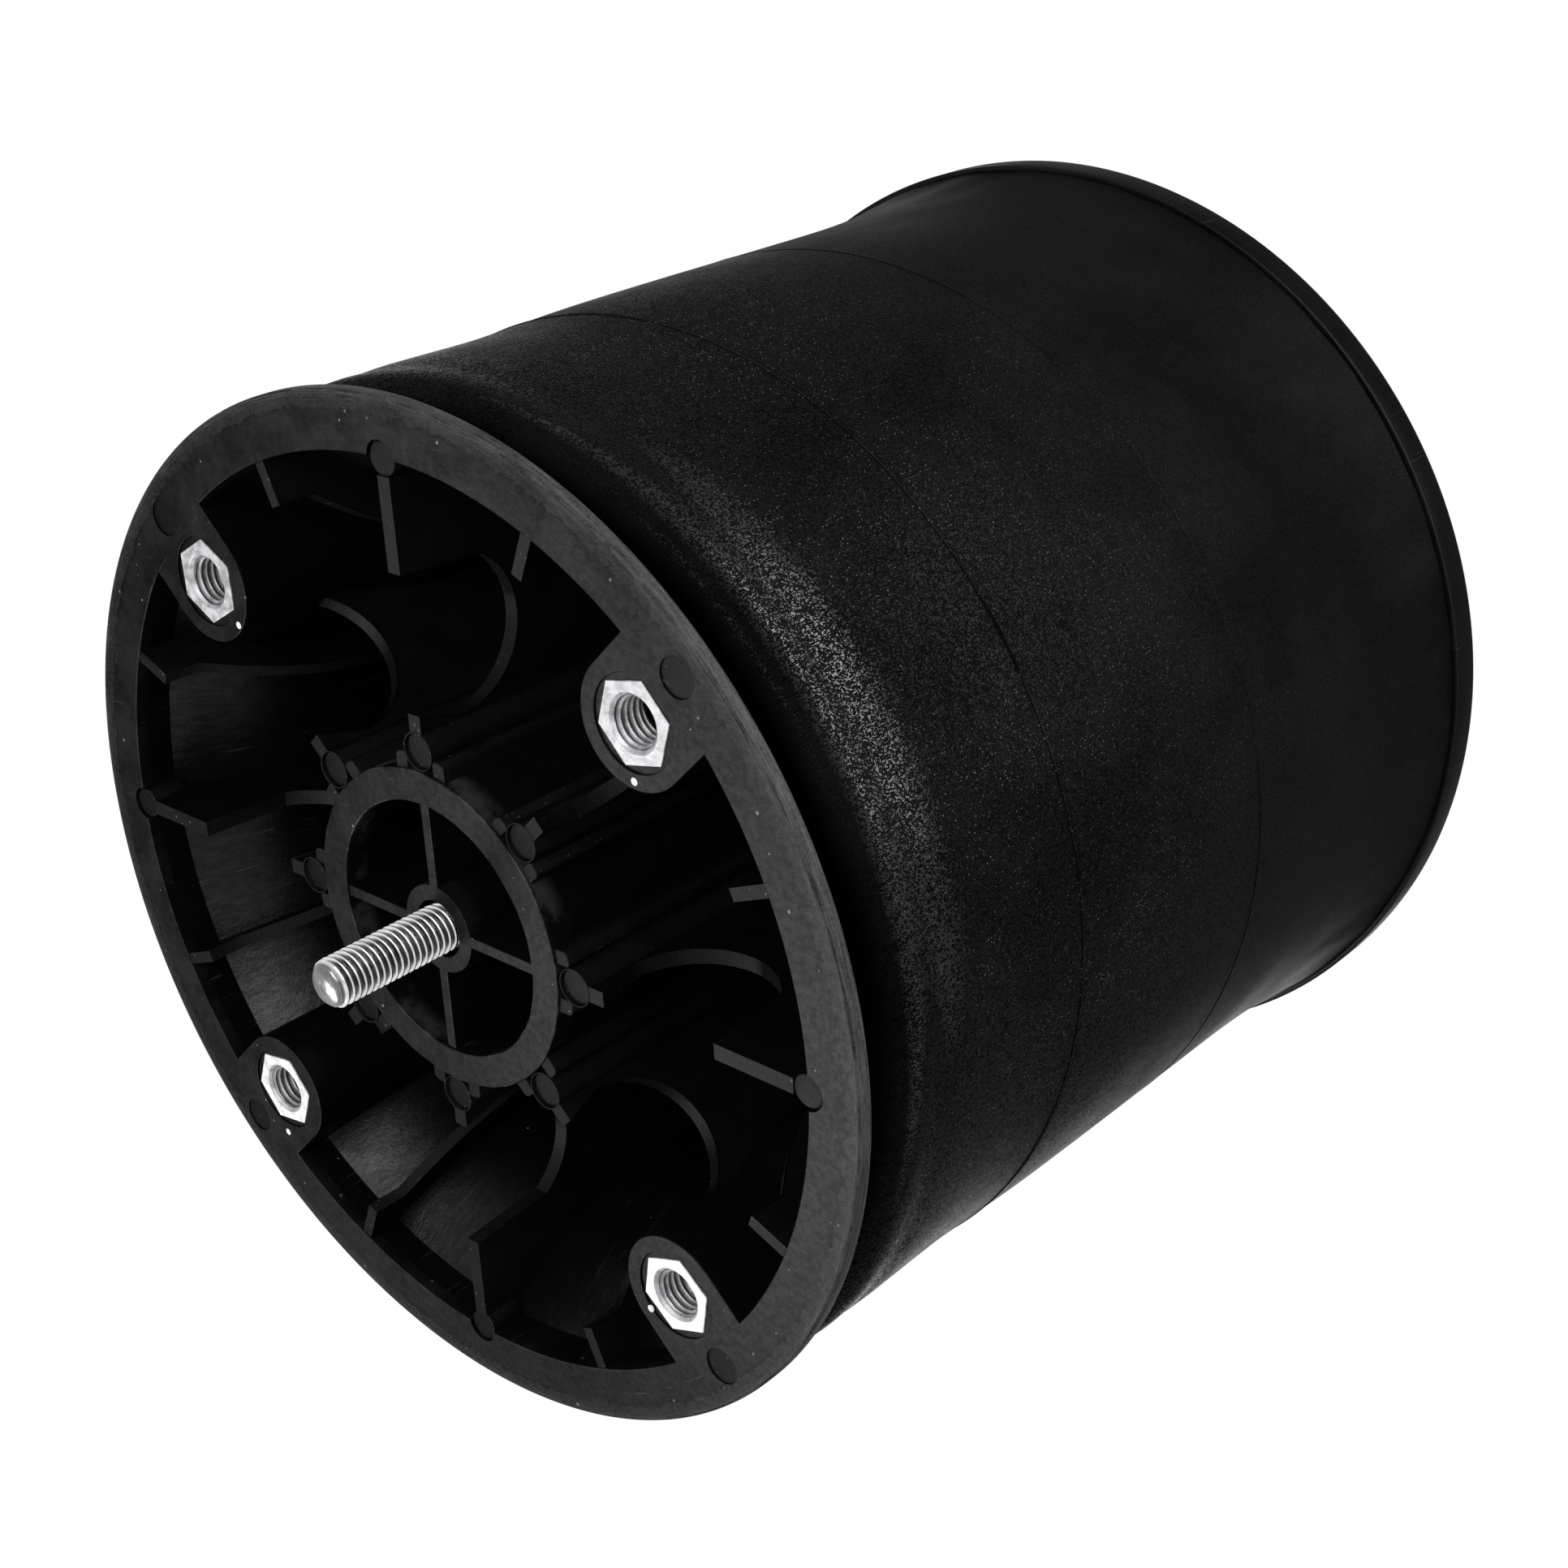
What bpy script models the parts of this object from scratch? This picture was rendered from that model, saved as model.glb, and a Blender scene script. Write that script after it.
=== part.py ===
"""Rolling-lobe air suspension spring with a ribbed moulded piston, fully collapsed.

Units are metres. The origin is the centre of the piston's base plane and +Z runs
along the spring axis to the top plate. The long base ribs lie on X and Y, and the
four moulded-in nuts lie on the diagonals.
"""

import math

import bmesh
import bpy
from mathutils import Matrix, Vector

# Clearances and facet counts
seat_gap = 0.0003
round_facets = 40
middle_facets = 32
small_facets = 16
wall_steps = 5
shoulder_steps = 3

# Piston: base flange, skirt, waist and top
flange_width = 0.0093
flange_thickness = 0.0041
flange_chamfer = 0.0007
skirt_radius = 0.1162
skirt_height = 0.010
waist_radius = 0.0965
waist_height = 0.064
waist_ease = 2.2
piston_top_radius = 0.095
piston_height = 0.166
shoulder_round = 0.015
wall_thickness = 0.0042
top_thickness = 0.0045

# Piston: hub tube and bolt boss inside the base
hub_outer_radius = 0.0396
hub_wall = 0.0080
hub_recess = 0.0004
boss_radius = 0.011
boss_recess = 0.0009
bolt_hole_clearance = 0.0011
cross_rib_count = 4
cross_rib_thickness = 0.0028

# Piston: ribs between hub and wall, with the round notch in their front edge
rib_count = 8
rib_thickness = 0.0038
rib_recess = 0.0003
notch_centre_radius = 0.0686
notch_depth = 0.0320
notch_radius = 0.0188
notch_corner_angle = 33
notch_side_draft = 0.0019
nub_length = 0.0136
wall_rib_thickness = 0.0030
wall_rib_depth = 0.0105

# Piston: round posts and fins on the hub, and the shallow round marks
post_radius = 0.0043
post_offset = 0.0048
fin_thickness = 0.0037
fin_offset = 0.0064
fin_length = 0.0054
mark_radius = 0.0045
mark_depth = 0.0006
mark_edge_distance = 0.0084

# Moulded-in nuts and their lugs
nut_count = 4
nut_circle_radius = 0.0985
nut_across_flats = 0.018
nut_height = 0.010
nut_minor_radius = 0.00505
nut_chamfer = 0.0012
nut_turns = {1: 44, 2: 32, 3: 55, 4: 36}
lug_radius = 0.0148
nut_pocket_clearance = 0.0004
thread_run_out = 0.014

# Central bolt with its stack
bolt_radius = 0.0059
bolt_projection = 0.032
bolt_tip_chamfer = 0.0016
bolt_head_across_flats = 0.018
bolt_head_height = 0.0075
seal_section_radius = 0.0016
bolt_washer_thickness = 0.0025
bolt_washer_width = 0.0036
retainer_radius = 0.023
retainer_thickness = 0.003

# Clamp plate that holds the lower bead on the piston
clamp_thickness = 0.003
clamp_bore_clearance = 0.0004
clamp_lip_overhang = 0.0042

# Rubber sleeve: wall, beads, rolling lobe and outer leg
sleeve_thickness = 0.004
bead_section_radius = 0.0047
lower_bead_radius = 0.069
fold_radius = 0.0051
fold_reach = 0.0037
lobe_radius = 0.1249
lobe_height = 0.040
sleeve_waist_radius = 0.1237
sleeve_waist_height = 0.062
sleeve_radius = 0.1249
flare_length = 0.045
flare_bulge = 0.0013

# Bump stop
bump_stop_radius = 0.043
bump_stop_waist_radius = 0.036
bump_stop_head_radius = 0.040
bump_stop_bore = 0.018
bump_stop_ledge = 0.006

# Top plate with its crimped rim
assembly_height = 0.250
plate_thickness = 0.003
crimp_radius = 0.1303
crimp_wall = 0.0025
crimp_depth = 0.0065
crimp_round = 0.003

# Top studs and their flange nuts
top_stud_count = 2
top_stud_circle_radius = 0.070
top_stud_radius = 0.0059
top_stud_length = 0.036
stud_head_radius = 0.012
stud_head_thickness = 0.003
stud_nut_across_flats = 0.018
stud_nut_height = 0.012
stud_nut_flange_radius = 0.0132
stud_nut_flange_height = 0.0025

# Locating pin on the top plate
pin_offset = 0.080
pin_radius = 0.004
pin_height = 0.011
pin_head_radius = 0.007
pin_head_thickness = 0.002

# Air inlet
inlet_offset = 0.060
inlet_thread_radius = 0.0098
inlet_bore_radius = 0.0062
inlet_across_flats = 0.027
inlet_hex_height = 0.010
inlet_collar_radius = 0.0145
inlet_collar_depth = 0.008
inlet_ring_thickness = 0.002
inlet_ring_width = 0.0035

# Values that follow from the driving dimensions
full_turn = 2 * math.pi
flange_radius = skirt_radius + flange_width
rib_step = full_turn / rib_count
nut_step = full_turn / nut_count
hub_inner_radius = hub_outer_radius - hub_wall
bolt_hole_radius = bolt_radius + bolt_hole_clearance
nut_pocket_radius = nut_across_flats / math.sqrt(3) + nut_pocket_clearance
half_sleeve = sleeve_thickness / 2
sleeve_top_height = piston_height + seat_gap + half_sleeve
lower_bead_height = sleeve_top_height
groove_floor = lower_bead_height - bead_section_radius - seat_gap
groove_half_width = bead_section_radius + 4 * seat_gap
top_underside = assembly_height - plate_thickness
upper_bead_height = top_underside - seat_gap - bead_section_radius
upper_bead_radius = crimp_radius - crimp_wall - seat_gap - bead_section_radius
clamp_underside = piston_height + seat_gap
clamp_top = clamp_underside + clamp_thickness
stack_base = clamp_top + seat_gap
washer_base = stack_base + 2 * seal_section_radius + seat_gap
retainer_base = washer_base + bolt_washer_thickness + seat_gap
bolt_head_base = retainer_base + retainer_thickness + seat_gap


def clear_scene():
    for old in list(bpy.data.objects):
        bpy.data.objects.remove(old, do_unlink=True)


def new_collection(name, hidden=False):
    collection = bpy.data.collections.new(name)
    bpy.context.scene.collection.children.link(collection)
    collection.hide_render = hidden
    return collection


def new_material(name, colour, roughness, metallic):
    material = bpy.data.materials.new(name)
    material.use_nodes = True
    shader = material.node_tree.nodes["Principled BSDF"]
    shader.inputs["Base Color"].default_value = (*colour, 1.0)
    shader.inputs["Roughness"].default_value = roughness
    shader.inputs["Metallic"].default_value = metallic
    return material


def finish(obj, finish_name):
    """Gives the object its own material and smooth shading, sharp at real corners."""
    obj.data.materials.clear()
    obj.data.materials.append(new_material(obj.name, *finishes[finish_name]))
    obj.data.shade_smooth()
    obj.data.set_sharp_from_angle(angle=math.radians(32))
    return obj


def link(name, mesh):
    obj = bpy.data.objects.new(name, mesh)
    parts.objects.link(obj)
    return obj


def baked(obj):
    """Replaces the object's modifiers, or a curve, with the plain mesh they make."""
    bpy.context.view_layer.update()
    graph = bpy.context.evaluated_depsgraph_get()
    mesh = bpy.data.meshes.new_from_object(obj.evaluated_get(graph))
    made = bpy.data.objects.new(obj.name, mesh)
    made.matrix_world = obj.matrix_world.copy()
    parts.objects.link(made)
    name = obj.name
    bpy.data.objects.remove(obj, do_unlink=True)
    made.name = name
    return made


def place_mesh(obj, matrix):
    obj.data.transform(matrix @ obj.matrix_world)
    obj.matrix_world = Matrix.Identity(4)
    return obj


def signed_area(outline):
    following = outline[1:] + outline[:1]
    return sum(a[0] * b[1] - b[0] * a[1] for a, b in zip(outline, following)) / 2


def turned(name, outline, facets=round_facets):
    """A solid of revolution about Z from a closed outline of (radius, height)."""
    if signed_area(outline) > 0:
        outline = outline[::-1]
    mesh = bpy.data.meshes.new(name)
    count = len(outline)
    edges = [(i, (i + 1) % count) for i in range(count)]
    edges = [(a, b) for a, b in edges if outline[a][0] > 0 or outline[b][0] > 0]
    mesh.from_pydata([(r, 0, z) for r, z in outline], edges, [])
    obj = link(name, mesh)
    screw = obj.modifiers.new("turn", "SCREW")
    screw.steps = facets
    screw.render_steps = facets
    screw.use_merge_vertices = True
    screw.merge_threshold = 0.00001
    return baked(obj)


def flat_plate(name, outline, thickness):
    """A flat outline in X and Z, with its thickness centred on Y."""
    curve = bpy.data.curves.new(name, "CURVE")
    curve.dimensions = "2D"
    curve.fill_mode = "BOTH"
    curve.extrude = thickness / 2
    spline = curve.splines.new("POLY")
    spline.points.add(len(outline) - 1)
    for point, (x, z) in zip(spline.points, outline):
        point.co = (x, z, 0, 1)
    spline.use_cyclic_u = True
    obj = baked(link(name, curve))
    weld(obj)
    return place_mesh(obj, Matrix.Rotation(math.pi / 2, 4, "X"))


def upright_plate(name, outline, low, high):
    """A flat outline in X and Y, extruded from one height to another."""
    obj = flat_plate(name, outline, high - low)
    turn_flat = Matrix.Rotation(-math.pi / 2, 4, "X")
    return place_mesh(obj, Matrix.Translation((0, 0, (low + high) / 2)) @ turn_flat)


def weld(obj):
    form = bmesh.new()
    form.from_mesh(obj.data)
    bmesh.ops.remove_doubles(form, verts=form.verts, dist=0.000001)
    bmesh.ops.recalc_face_normals(form, faces=form.faces)
    form.to_mesh(obj.data)
    form.free()


def cylinder(name, radius, low, high, facets=small_facets, centre=(0, 0)):
    form = bmesh.new()
    bmesh.ops.create_cone(
        form,
        cap_ends=True,
        segments=facets,
        radius1=radius,
        radius2=radius,
        depth=high - low,
        matrix=Matrix.Translation((*centre, (low + high) / 2)),
    )
    mesh = bpy.data.meshes.new(name)
    form.to_mesh(mesh)
    form.free()
    return link(name, mesh)


def hexagon(across_flats):
    corner = across_flats / math.sqrt(3)
    return [(corner * math.cos(k * math.pi / 3), corner * math.sin(k * math.pi / 3)) for k in range(6)]


def around(obj, count, first_angle=0.0):
    """Joins copies of the object, spread evenly round Z, into one mesh."""
    form = bmesh.new()
    for k in range(count):
        copy = obj.data.copy()
        copy.transform(Matrix.Rotation(first_angle + k * full_turn / count, 4, "Z"))
        form.from_mesh(copy)
        bpy.data.meshes.remove(copy)
    form.to_mesh(obj.data)
    form.free()
    return obj


def combine(obj, others, operation):
    """Adds, cuts or keeps the common part with each of the other solids."""
    for other in others:
        step = obj.modifiers.new(other.name, "BOOLEAN")
        step.operation = operation
        step.solver = "EXACT"
        step.object = other
    made = baked(obj)
    for other in others:
        bpy.data.objects.remove(other, do_unlink=True)
    return made


def smooth_through(points, steps):
    """Points along a smooth curve that passes through the given ones."""
    ends = [points[0]] + points + [points[-1]]
    curve = []
    for a, b, c, d in zip(ends, ends[1:], ends[2:], ends[3:]):
        for k in range(steps):
            t = k / steps
            curve.append(tuple(
                b[i] + t / 2 * (c[i] - a[i] + t * (2 * a[i] - 5 * b[i] + 4 * c[i] - d[i]
                                                 + t * (3 * (b[i] - c[i]) + d[i] - a[i])))
                for i in range(2)
            ))
    return curve + [points[-1]]


def arc(centre, radius, start, end, steps):
    angles = [math.radians(start + (end - start) * k / steps) for k in range(steps + 1)]
    return [(centre[0] + radius * math.cos(a), centre[1] + radius * math.sin(a)) for a in angles]


def wall_radius(height):
    """The piston's outer radius above the flange: skirt, eased waist, drafted wall."""
    if height <= skirt_height:
        return skirt_radius
    if height < waist_height:
        share = (height - skirt_height) / (waist_height - skirt_height)
        return waist_radius + (skirt_radius - waist_radius) * (1 - share) ** waist_ease
    shoulder = piston_height - shoulder_round
    share = (height - waist_height) / (shoulder - waist_height)
    return waist_radius + (piston_top_radius - waist_radius) * share


def wall_heights():
    rise = waist_height - skirt_height
    return [skirt_height + rise * k / wall_steps for k in range(wall_steps + 1)]


def shoulder_arc(offset):
    centre = (piston_top_radius - shoulder_round, piston_height - shoulder_round)
    return arc(centre, shoulder_round + offset, 0, 90, shoulder_steps)


def piston_section():
    """Half section of everything on the piston that is round about the axis."""
    flange_top = flange_thickness
    outside = [
        (flange_radius - flange_chamfer, 0),
        (flange_radius, flange_chamfer),
        (flange_radius, flange_top - flange_chamfer),
        (flange_radius - flange_chamfer, flange_top),
        (skirt_radius, flange_top),
    ]
    outside += [(wall_radius(z), z) for z in wall_heights()]
    outside += shoulder_arc(0)
    groove = [
        (lower_bead_radius + groove_half_width, piston_height),
        (lower_bead_radius + groove_half_width, groove_floor),
        (lower_bead_radius - groove_half_width, groove_floor),
        (lower_bead_radius - groove_half_width, piston_height),
    ]
    ceiling = groove_floor - top_thickness
    inner_shoulder = shoulder_round - wall_thickness
    shoulder_start = ceiling - inner_shoulder
    bore = [
        (bolt_hole_radius, piston_height),
        (bolt_hole_radius, boss_recess),
        (boss_radius, boss_recess),
        (boss_radius, ceiling),
        (hub_inner_radius, ceiling),
        (hub_inner_radius, hub_recess),
        (hub_outer_radius, hub_recess),
        (hub_outer_radius, ceiling),
    ]
    inner_centre = (wall_radius(shoulder_start) - wall_thickness - inner_shoulder, shoulder_start)
    inside = arc(inner_centre, inner_shoulder, 90, 0, shoulder_steps)
    inside += [(wall_radius(z) - wall_thickness, z) for z in reversed(wall_heights())]
    inside += [(skirt_radius - wall_thickness, 0)]
    return outside + groove + bore + inside


def rib_back(heights):
    """The rib's far edge and its top, both buried in the middle of the piston's wall."""
    buried = groove_floor - top_thickness / 2
    inner_shoulder = shoulder_round - wall_thickness
    corner = groove_floor - top_thickness - inner_shoulder
    back = [(wall_radius(z) - wall_thickness / 2, z) for z in heights]
    centre = (wall_radius(corner) - wall_thickness - inner_shoulder, corner)
    back += arc(centre, inner_shoulder + wall_thickness / 2, 0, 90, shoulder_steps)
    return back, buried


def rib_outline():
    """A radial web with a tongue at the flange, a round notch, and a nub at the hub."""
    nub_tip = hub_outer_radius + nub_length
    notch_centre = (notch_centre_radius, notch_depth - notch_radius)
    notch = arc(notch_centre, notch_radius, 180, notch_corner_angle, 9)
    tongue_tip = notch[-1][0] + notch_side_draft
    back, buried = rib_back(wall_heights())
    outline = [(nub_tip, rib_recess)] + notch
    outline += [(tongue_tip, rib_recess), (skirt_radius - wall_thickness / 2, rib_recess)]
    outline += back
    outline += [(hub_outer_radius - hub_wall / 2, buried), (hub_outer_radius - hub_wall / 2, rib_recess + hub_recess)]
    return outline


def wall_rib_outline():
    """A shallow rib that follows the wall from the flange to the piston's top."""
    heights = wall_heights()
    back, buried = rib_back(heights)
    reach = wall_thickness + wall_rib_depth
    front = [(wall_radius(z) - reach, z) for z in heights]
    outline = [(skirt_radius - wall_thickness / 2, rib_recess)] + back
    outline += [(back[-1][0] - wall_thickness, buried)]
    outline += list(reversed(front))
    outline += [(skirt_radius - reach, rib_recess)]
    return outline


def lugs():
    """The rounded lugs that hold the nuts, kept inside the wall down to the piston's top."""
    buried = groove_floor - top_thickness / 2
    outline = arc((nut_circle_radius, 0), lug_radius, 90, 270, 9)
    outline += [(skirt_radius, -lug_radius), (skirt_radius, lug_radius)]
    lug = upright_plate("lug", outline, 0, buried)
    all_lugs = around(lug, nut_count, nut_step / 2)
    back, top = rib_back(wall_heights())
    middle = skirt_radius - wall_thickness / 2
    core = turned("core", [(0, -flange_thickness), (middle, -flange_thickness)] + back + [(0, top)])
    return combine(all_lugs, [core], "INTERSECT")


def hub_posts():
    buried = groove_floor - top_thickness / 2
    post_circle = hub_outer_radius + post_offset
    post = cylinder("post", post_radius, rib_recess + mark_depth, buried, 12, (post_circle, 0))
    return around(post, rib_count)


def hub_fins():
    buried = groove_floor - top_thickness / 2
    near = hub_outer_radius - hub_wall / 2
    far = hub_outer_radius + fin_length
    outline = []
    for side in (-1, 1):
        low = side * fin_offset - fin_thickness / 2
        high = side * fin_offset + fin_thickness / 2
        outline.append([(near, low), (far, low), (far, high), (near, high)])
    both = upright_plate("fin", outline[0], hub_recess + rib_recess, buried)
    other = upright_plate("other_fin", outline[1], hub_recess + rib_recess, buried)
    form = bmesh.new()
    form.from_mesh(both.data)
    form.from_mesh(other.data)
    form.to_mesh(both.data)
    form.free()
    bpy.data.objects.remove(other, do_unlink=True)
    return around(both, rib_count)


def cross_ribs():
    buried = groove_floor - top_thickness / 2
    outline = [
        (boss_radius - bolt_hole_clearance, boss_recess + rib_recess),
        (hub_inner_radius + hub_wall / 2, boss_recess + rib_recess),
        (hub_inner_radius + hub_wall / 2, buried),
        (boss_radius - bolt_hole_clearance, buried),
    ]
    rib = flat_plate("cross_rib", outline, cross_rib_thickness)
    return around(rib, cross_rib_count)


def nut_pockets():
    floor = nut_height + 2 * seat_gap
    run_out = floor + thread_run_out
    outline = [
        (0, -flange_thickness),
        (nut_pocket_radius, -flange_thickness),
        (nut_pocket_radius, floor),
        (bolt_radius + seat_gap, floor),
        (bolt_radius + seat_gap, run_out),
        (0, run_out),
    ]
    pocket = turned("nut_pocket", outline, small_facets)
    place_mesh(pocket, Matrix.Translation((nut_circle_radius, 0, 0)))
    return around(pocket, nut_count, nut_step / 2)


def flange_marks():
    """Shallow round marks beside each nut and at the root of each long rib."""
    edge_circle = flange_radius - mark_edge_distance
    beside_nuts = cylinder("nut_mark", mark_radius, -mark_depth, mark_depth, small_facets, (edge_circle, 0))
    around(beside_nuts, nut_count, nut_step / 2)
    root_circle = skirt_radius - wall_thickness
    at_ribs = cylinder("rib_mark", mark_radius, -mark_depth, mark_depth, small_facets, (root_circle, 0))
    around(at_ribs, nut_count)
    return [beside_nuts, at_ribs]


def make_piston():
    body = turned("piston", piston_section())
    ribs = around(flat_plate("rib", rib_outline(), rib_thickness), rib_count)
    wall_rib = flat_plate("wall_rib", wall_rib_outline(), wall_rib_thickness)
    wall_ribs = around(wall_rib, rib_count, rib_step / 2)
    added = [ribs, wall_ribs, lugs(), hub_posts(), hub_fins(), cross_ribs()]
    body = combine(body, added, "UNION")
    body = combine(body, [nut_pockets()] + flange_marks(), "DIFFERENCE")
    return finish(body, "moulded_plastic")


def make_base_nut(number):
    """A hexagon nut with a chamfered bore, flush with the flange face."""
    name = f"base_nut_{number}"
    blank = upright_plate(name, hexagon(nut_across_flats), 0, nut_height)
    bore = turned("nut_bore", [
        (0, -nut_chamfer),
        (nut_minor_radius + 2 * nut_chamfer, -nut_chamfer),
        (nut_minor_radius, nut_chamfer),
        (nut_minor_radius, nut_height - nut_chamfer),
        (nut_minor_radius + 2 * nut_chamfer, nut_height + nut_chamfer),
        (0, nut_height + nut_chamfer),
    ], small_facets)
    nut = combine(blank, [bore], "DIFFERENCE")
    angle = nut_step * (number - 0.5)
    place = (nut_circle_radius * math.cos(angle), nut_circle_radius * math.sin(angle), seat_gap)
    nut.location = Vector(place)
    nut.rotation_euler = (0, 0, angle + math.radians(nut_turns[number]))
    return finish(nut, "zinc")


def make_central_bolt():
    """The long bolt that clamps the stack to the piston and stands out of the base."""
    tip = -bolt_projection
    shank = turned("central_bolt", [
        (0, tip),
        (bolt_radius - bolt_tip_chamfer, tip),
        (bolt_radius, tip + bolt_tip_chamfer),
        (bolt_radius, bolt_head_base + bolt_head_height / 2),
        (0, bolt_head_base + bolt_head_height / 2),
    ], small_facets)
    top = bolt_head_base + bolt_head_height
    head = upright_plate("bolt_head", hexagon(bolt_head_across_flats), bolt_head_base, top)
    return finish(combine(shank, [head], "UNION"), "zinc")


def ring(name, inner, outer, low, high, finish_name, facets=small_facets):
    outline = [(inner, high), (outer, high), (outer, low), (inner, low)]
    return finish(turned(name, outline, facets), finish_name)


def make_seal_ring():
    centre = (bolt_radius + clamp_bore_clearance + seal_section_radius, stack_base + seal_section_radius)
    outline = arc(centre, seal_section_radius, 0, 315, 7)
    return finish(turned("bolt_seal_ring", outline, small_facets), "rubber")


def make_clamp_plate():
    """A pressed dish: flat on the piston's top, stepped up over the bead, with a lip round it."""
    bore = bolt_radius + clamp_bore_clearance
    over_bead = lower_bead_height + bead_section_radius + seat_gap
    flat_end = lower_bead_radius - groove_half_width - clamp_thickness
    step_end = lower_bead_radius - bead_section_radius
    lip_inner = lower_bead_radius + bead_section_radius + clamp_lip_overhang / 2
    lip_outer = lip_inner + clamp_thickness
    lip_foot = sleeve_top_height + half_sleeve + 2 * seat_gap
    rise = clamp_thickness
    outline = [
        (bore, clamp_underside),
        (flat_end, clamp_underside),
        (step_end - rise / 2, over_bead),
        (lip_inner - rise / 3, over_bead),
        (lip_inner, lip_foot),
        (lip_outer, lip_foot),
        (lip_outer, over_bead + rise / 2),
        (lip_outer - rise / 2, over_bead + rise),
        (step_end - rise, over_bead + rise),
        (flat_end - rise / 2, clamp_top),
        (bore, clamp_top),
    ]
    return finish(turned("clamp_plate", outline), "coated_steel")


def make_bump_stop():
    """A rubber buffer with a waist. Its ledge is held under the retainer and the bolt's head."""
    foot = stack_base
    crown = top_underside - seat_gap
    height = crown - foot
    seat = retainer_base - seat_gap
    pocket = retainer_radius + 4 * seat_gap
    pocket_top = bolt_head_base + bolt_head_height / 2
    ledge_bore = bolt_radius + clamp_bore_clearance + bolt_washer_width + 2 * seat_gap
    outside = smooth_through([
        (bump_stop_radius, foot),
        (bump_stop_radius, foot + 0.16 * height),
        (bump_stop_waist_radius, foot + 0.40 * height),
        (bump_stop_head_radius, foot + 0.68 * height),
        (bump_stop_head_radius - 0.04 * height, foot + 0.92 * height),
        (bump_stop_waist_radius - 0.08 * height, crown),
    ], 2)
    inside = [
        (bump_stop_bore, crown),
        (bump_stop_bore, pocket_top + pocket - bump_stop_bore),
        (pocket, pocket_top),
        (pocket, seat),
        (ledge_bore, seat),
        (ledge_bore, foot),
    ]
    return finish(turned("bump_stop", outside + inside, middle_facets), "rubber")


def sleeve_outer_leg():
    """Centre line of the outer leg, from the upper bead down to where the lobe turns."""
    flare_foot = upper_bead_height - flare_length
    return [
        (upper_bead_radius, upper_bead_height),
        (flare_radius + flare_bulge, upper_bead_height - 1.3 * bead_section_radius),
        ((flare_radius + flare_bulge + 2 * sleeve_centre) / 3, upper_bead_height - 0.55 * flare_length),
        (sleeve_centre, flare_foot),
        (sleeve_waist_radius - half_sleeve, sleeve_waist_height),
        (lobe_radius - half_sleeve, lobe_height),
    ]


def nearest_on_wall(point):
    """Distance and outward direction from the piston's faceted wall to a point beside it."""
    wall = [Vector((skirt_radius, flange_thickness))]
    wall += [Vector((wall_radius(z), z)) for z in wall_heights()]
    here = Vector(point)
    gaps = []
    for low, high in zip(wall, wall[1:]):
        along = high - low
        share = max(0, min(1, (here - low).dot(along) / along.length_squared))
        gaps.append(here - (low + share * along))
    nearest = min(gaps, key=lambda gap: gap.length)
    return nearest.length, nearest.normalized()


def fold_centre():
    """The lowest place where the fold clears both the wall and the flange."""
    radius = lobe_radius - fold_reach - half_sleeve + fold_radius / 2 - fold_radius
    clearance = fold_radius + half_sleeve + seat_gap
    step = sleeve_thickness / 40
    z = flange_thickness + clearance
    while nearest_on_wall((radius, z))[0] < clearance and z < waist_height:
        z += step
    return radius, z


def sleeve_path():
    """Centre line of the whole sleeve, upper bead to lower bead, at rest."""
    centre = fold_centre()
    away = nearest_on_wall(centre)[1]
    turn_end = math.degrees(math.atan2(-away.y, -away.x))
    turn = arc(centre, fold_radius, 0, turn_end, 4)
    leg = smooth_through(sleeve_outer_leg() + [turn[0]], 2)
    lift = half_sleeve + seat_gap
    start = turn[-1][1]
    inner = []
    for z in wall_heights() + [piston_height - shoulder_round]:
        slope = (wall_radius(z + seat_gap) - wall_radius(z - seat_gap)) / (2 * seat_gap)
        normal = Vector((1, -slope)).normalized()
        place = (wall_radius(z) + lift * normal.x, z + lift * normal.y)
        if place[1] > start + fold_radius / 2:
            inner.append(place)
    over = shoulder_arc(lift)[1:]
    end = (lower_bead_radius, lower_bead_height)
    return leg[:-1] + turn + inner + over + [end]


def ribbon(path):
    """Closed outline of a wall of the sleeve's thickness along a path, with a round bead at each end."""
    points = [Vector(p) for p in path]
    kept = [p for p in points if (p - points[0]).length > bead_section_radius
            and (p - points[-1]).length > bead_section_radius]
    left, right = [], []
    for before, here, after in zip([points[0]] + kept, kept, kept[1:] + [points[-1]]):
        along = (after - before).normalized()
        side = Vector((-along.y, along.x)) * half_sleeve
        left.append(tuple(here + side))
        right.append(tuple(here - side))
    first = bead_arc(points[0], Vector(right[0]), Vector(left[0]))
    last = bead_arc(points[-1], Vector(left[-1]), Vector(right[-1]))
    return first + left + last + right[::-1]


def bead_arc(centre, start, end):
    """The round of a bead from one side of the wall to the other, the long way."""
    a = math.atan2(start.y - centre.y, start.x - centre.x)
    b = math.atan2(end.y - centre.y, end.x - centre.x)
    sweep = (b - a) % full_turn
    if sweep < math.pi:
        sweep -= full_turn
    trim = math.asin(half_sleeve / bead_section_radius) * 0.4
    a += math.copysign(trim, sweep)
    sweep -= math.copysign(2 * trim, sweep)
    steps = 5
    angles = [a + sweep * k / steps for k in range(steps + 1)]
    return [(centre.x + bead_section_radius * math.cos(t), centre.y + bead_section_radius * math.sin(t))
            for t in angles]


def make_sleeve():
    return finish(turned("bellows_sleeve", ribbon(sleeve_path())), "rubber")


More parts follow.
